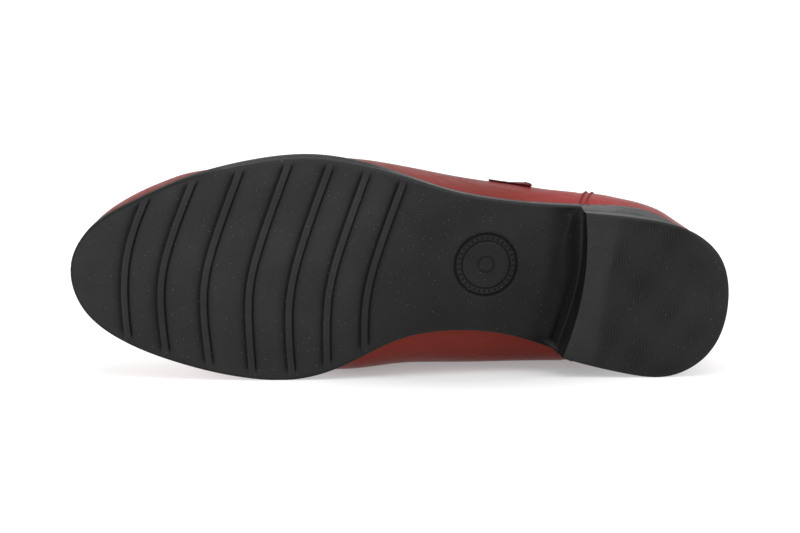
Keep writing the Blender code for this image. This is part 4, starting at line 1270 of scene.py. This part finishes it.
def stitch_row(name, path, normals, stitch, thread):
    """Stitches laid end to end along a path on a surface."""
    steps = np.linalg.norm(np.diff(path, axis=0), axis=1)
    reach = np.concatenate(([0.0], np.cumsum(steps)))
    count = max(2, int(reach[-1] / stitch.pitch))
    pitch = reach[-1] / count

    def read(values, at):
        return np.array([np.interp(at, reach, column) for column in values.T])

    points, faces = [], []
    quads = np.array(grid_faces((STITCH_ALONG, STITCH_AROUND), close_columns=True))
    for number in range(count):
        start, end = (read(path, (number + 0.5 + half) * pitch)
                      for half in (-stitch.fill / 2.0, stitch.fill / 2.0))
        normal = unit(read(normals, (number + 0.5) * pitch))
        faces += (quads + len(points)).tolist()
        points += stitch_points(start, end, normal, stitch.radius)
    new_piece(name, points, faces, thread)


def surface_path(distance, v):
    """A path on the leather's outer face, for matching distances and shares of height."""
    v = np.asarray(v)[:, None]
    points = wall_at(distance, v)[:, 0]
    normals = wall_normal(distance, v)[:, 0]
    return points + normals * relief(points)[:, None], normals


def make_collar_stitches(thread):
    """One row of stitches all round, just under the collar."""
    distance = np.linspace(0.0, PERIMETER, COLLAR_SAMPLES)
    collar = wall_at(distance, [COLLAR_LOW_V, TOP_V])
    tall = np.linalg.norm(collar[:, 1] - collar[:, 0], axis=1) / (TOP_V - COLLAR_LOW_V)
    path, normals = surface_path(distance, TOP_V - COLLAR_INSET / tall)
    stitch_row("collar_stitches", path, normals, COLLAR_STITCH, thread)


def seam_path(side, back):
    """The counter seam on one side, moved back by some millimetres."""
    distances = np.interp(np.linspace(*SEAM_SPAN, SEAM_SAMPLES[0]), *side)
    shares = np.linspace(*SEAM_ENDS, SEAM_SAMPLES[1])
    grid = wall_at(distances, shares)
    ahead = grid[..., 0] - (seam_x(grid[..., 2]) - back)
    found = np.array([np.interp(0.0, column, distances) for column in ahead.T])
    return surface_path(found, shares)


def make_seam_stitches(thread):
    """Two rows of stitches along the counter seam: heavy ones outside, finer ones inside."""
    for side_name, side, stitch in SEAM_STITCHES:
        for back, row_name in SEAM_ROWS:
            path, normals = seam_path(side, back)
            stitch_row(f"seam_stitches_{side_name}_{row_name}", path, normals, stitch, thread)


def make_strap_stitches(thread):
    """A row of stitches along both edges of the strap."""
    from_middle = STRAP_WIDTH / 2.0 - STRAP_STITCH_INSET
    for offset, side in ((-from_middle, "rear"), (from_middle, "front")):
        under, normal = (values[:, 0] for values in strap_surface([offset]))
        thick = STRAP_THICKNESS * strap_thinning(offset, len(under))
        top = under + normal * thick[:, None]
        stitch_row(f"strap_stitches_{side}", top[STRAP_STITCH_ROWS], normal[STRAP_STITCH_ROWS],
                   STRAP_STITCH, thread)


# ------------------------------------------------------------ stage, light and camera

CAMERA_TARGET = Vector((0.0008, 0.0018, 0.0005))  # from the middle of the box's front face
CAMERA_DISTANCE = 1.0
CAMERA_AZIMUTH = 0.08      # degrees round from straight in front of the sole
CAMERA_ELEVATION = 7.37
CAMERA_ROLL = -0.45
CAMERA_LENS = 118.44       # millimetres, on a sensor of this width
CAMERA_SENSOR = 36.0
FLOOR_SIZE = 40.0
FLOOR_COLOUR = (0.5, 0.5, 0.5)
FLOOR_FINISH = (0.9, 0.0)
FLOOR_PAINTED_GLOW = 0.7           # the floor glows as painted light, so shadows on it are faint
# painted shadow: the glow is dimmed to this in a patch under the middle of the shoe
PAINTED_SHADOW_GLOW = 0.3
PAINTED_SHADOW_MIDDLE = (0.026, -0.012, 0.0)
PAINTED_SHADOW_REACH = (0.108, 0.075, 0.05)
PAINTED_SHADOW_FULL = 0.6             # how near its middle the painted shadow is full, rim 0 to middle 1
WHITE = (1.0, 1.0, 1.0)
# Brightness of the room, along its depth and as a share across it, with the spans over which it
# changes, and what it is overhead.
SKY_FRONT = 0.8
SKY_BACK = 0.7
SKY_DEPTH = (-0.9, 0.7)
SKY_LEFT = 1.0
SKY_RIGHT = 0.9
SKY_ACROSS = (-0.8, 0.8)
SKY_TOP = 0.25
SKY_HIGH = (0.15, 0.75)
SUN_STRENGTH = 1.2
SUN_ANGLE = 50.0
SUN_TILT = (18.0, 6.0, 0.0)
SIDE_STRENGTH = 1.3        # two low lights from the sides, a little in front of the shoe
SIDE_TILT = 62.0
SIDE_TURN = 28.0


def make_camera():
    """The camera at the photo's angle, square to the sole."""
    azimuth = math.radians(CAMERA_AZIMUTH)
    elevation = math.radians(CAMERA_ELEVATION)
    back = Vector((math.sin(azimuth) * math.cos(elevation),
                   -math.cos(azimuth) * math.cos(elevation), math.sin(elevation)))
    right = Vector((0.0, 0.0, 1.0)).cross(back).normalized()
    right = Matrix.Rotation(math.radians(CAMERA_ROLL), 3, back) @ right
    up = back.cross(right)
    camera_data = bpy.data.cameras.new("camera")
    camera_data.lens = CAMERA_LENS
    camera_data.sensor_width = CAMERA_SENSOR
    camera = bpy.data.objects.new("camera", camera_data)
    pose = Matrix((right, up, back)).transposed().to_4x4()
    face = (cad_low + cad_high) / 2.0
    face.y = cad_low.y
    pose.translation = face + CAMERA_TARGET + back * CAMERA_DISTANCE
    camera.matrix_world = pose
    bpy.context.scene.collection.objects.link(camera)
    bpy.context.scene.camera = camera


def make_floor():
    """A white floor that glows as painted light, dimmed under the shoe as a painted shadow."""
    material, tree, shader, where = new_material("floor_painted_glow_and_shadow", FLOOR_COLOUR, *FLOOR_FINISH)
    inputs = {"Location": PAINTED_SHADOW_MIDDLE, "Scale": PAINTED_SHADOW_REACH, "Vector": where}
    place = add_node(tree, "ShaderNodeMapping", "Vector", inputs, vector_type="TEXTURE")
    painted_shadow_patch = add_node(tree, "ShaderNodeTexGradient", "Fac", {"Vector": place},
                    gradient_type="SPHERICAL")
    painted_glow = remap(tree, painted_shadow_patch, 0.0, PAINTED_SHADOW_FULL, FLOOR_PAINTED_GLOW, PAINTED_SHADOW_GLOW)
    feed(tree, shader, {"Emission Color": WHITE, "Emission Strength": painted_glow})
    half = FLOOR_SIZE / 2.0
    mesh = bpy.data.meshes.new("floor_painted_glow_and_shadow")
    corners = [(-half, -half, 0.0), (half, -half, 0.0), (half, half, 0.0), (-half, half, 0.0)]
    mesh.from_pydata(corners, [], [(0, 1, 2, 3)])
    mesh.materials.append(material)
    floor_painted_glow_and_shadow = bpy.data.objects.new("floor_painted_glow_and_shadow", mesh)
    bpy.context.scene.collection.objects.link(floor_painted_glow_and_shadow)
    floor_painted_glow_and_shadow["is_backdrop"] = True


def make_light():
    """A white room, dimmest overhead, with one soft light above and one from each side."""
    world = bpy.data.worlds.new("room")
    bpy.context.scene.world = world
    world.use_nodes = True
    tree = world.node_tree
    split = tree.nodes.new("ShaderNodeSeparateXYZ")
    feed(tree, split, {"Vector": add_node(tree, "ShaderNodeTexCoord", "Generated", {})})
    depth = remap(tree, split.outputs["Y"], *SKY_DEPTH, SKY_FRONT, SKY_BACK)
    across = remap(tree, split.outputs["X"], *SKY_ACROSS, SKY_LEFT, SKY_RIGHT)
    inputs = {"Factor": remap(tree, split.outputs["Z"], *SKY_HIGH, 0.0, 1.0),
              "A": combine(tree, "MULTIPLY", depth, across), "B": SKY_TOP}
    level = add_node(tree, "ShaderNodeMix", "Result", inputs)
    feed(tree, tree.nodes["Background"], {"Color": WHITE, "Strength": level})
    add_sun("softbox", SUN_STRENGTH, SUN_TILT)
    add_sun("left_light", SIDE_STRENGTH, (0.0, -SIDE_TILT, SIDE_TURN))
    add_sun("right_light", SIDE_STRENGTH, (0.0, SIDE_TILT, -SIDE_TURN))


def add_sun(name, strength, tilt):
    """A distant soft light; tilt turns it from straight down, in degrees."""
    sun_data = bpy.data.lights.new(name, "SUN")
    sun_data.energy = strength
    sun_data.angle = math.radians(SUN_ANGLE)
    sun = bpy.data.objects.new(name, sun_data)
    sun.rotation_euler = [math.radians(a) for a in tilt]
    bpy.context.scene.collection.objects.link(sun)


# ------------------------------------------------------------ the whole scene

make_camera()
make_floor()
make_light()
bpy.context.scene.view_settings.view_transform = "Standard"

rubber_material = make_rubber()
leather_material = make_leather("leather", LEATHER_DARK, LEATHER_LIGHT, *LEATHER_FINISH)
# a darker copy of the leather for the strap, as painted shade
strap_shaded_material = make_leather("strap", STRAP_SHADED_DARK, STRAP_SHADED_LIGHT, *STRAP_FINISH)
lining_material = make_lining()
thread_material = make_thread()

make_sole(rubber_material)
make_stamp(rubber_material)
make_lift(rubber_material)
make_upper(leather_material)
make_lining_piece(lining_material)
make_sock(lining_material)
make_strap(strap_shaded_material)
make_collar_stitches(thread_material)
make_seam_stitches(thread_material)
make_strap_stitches(thread_material)
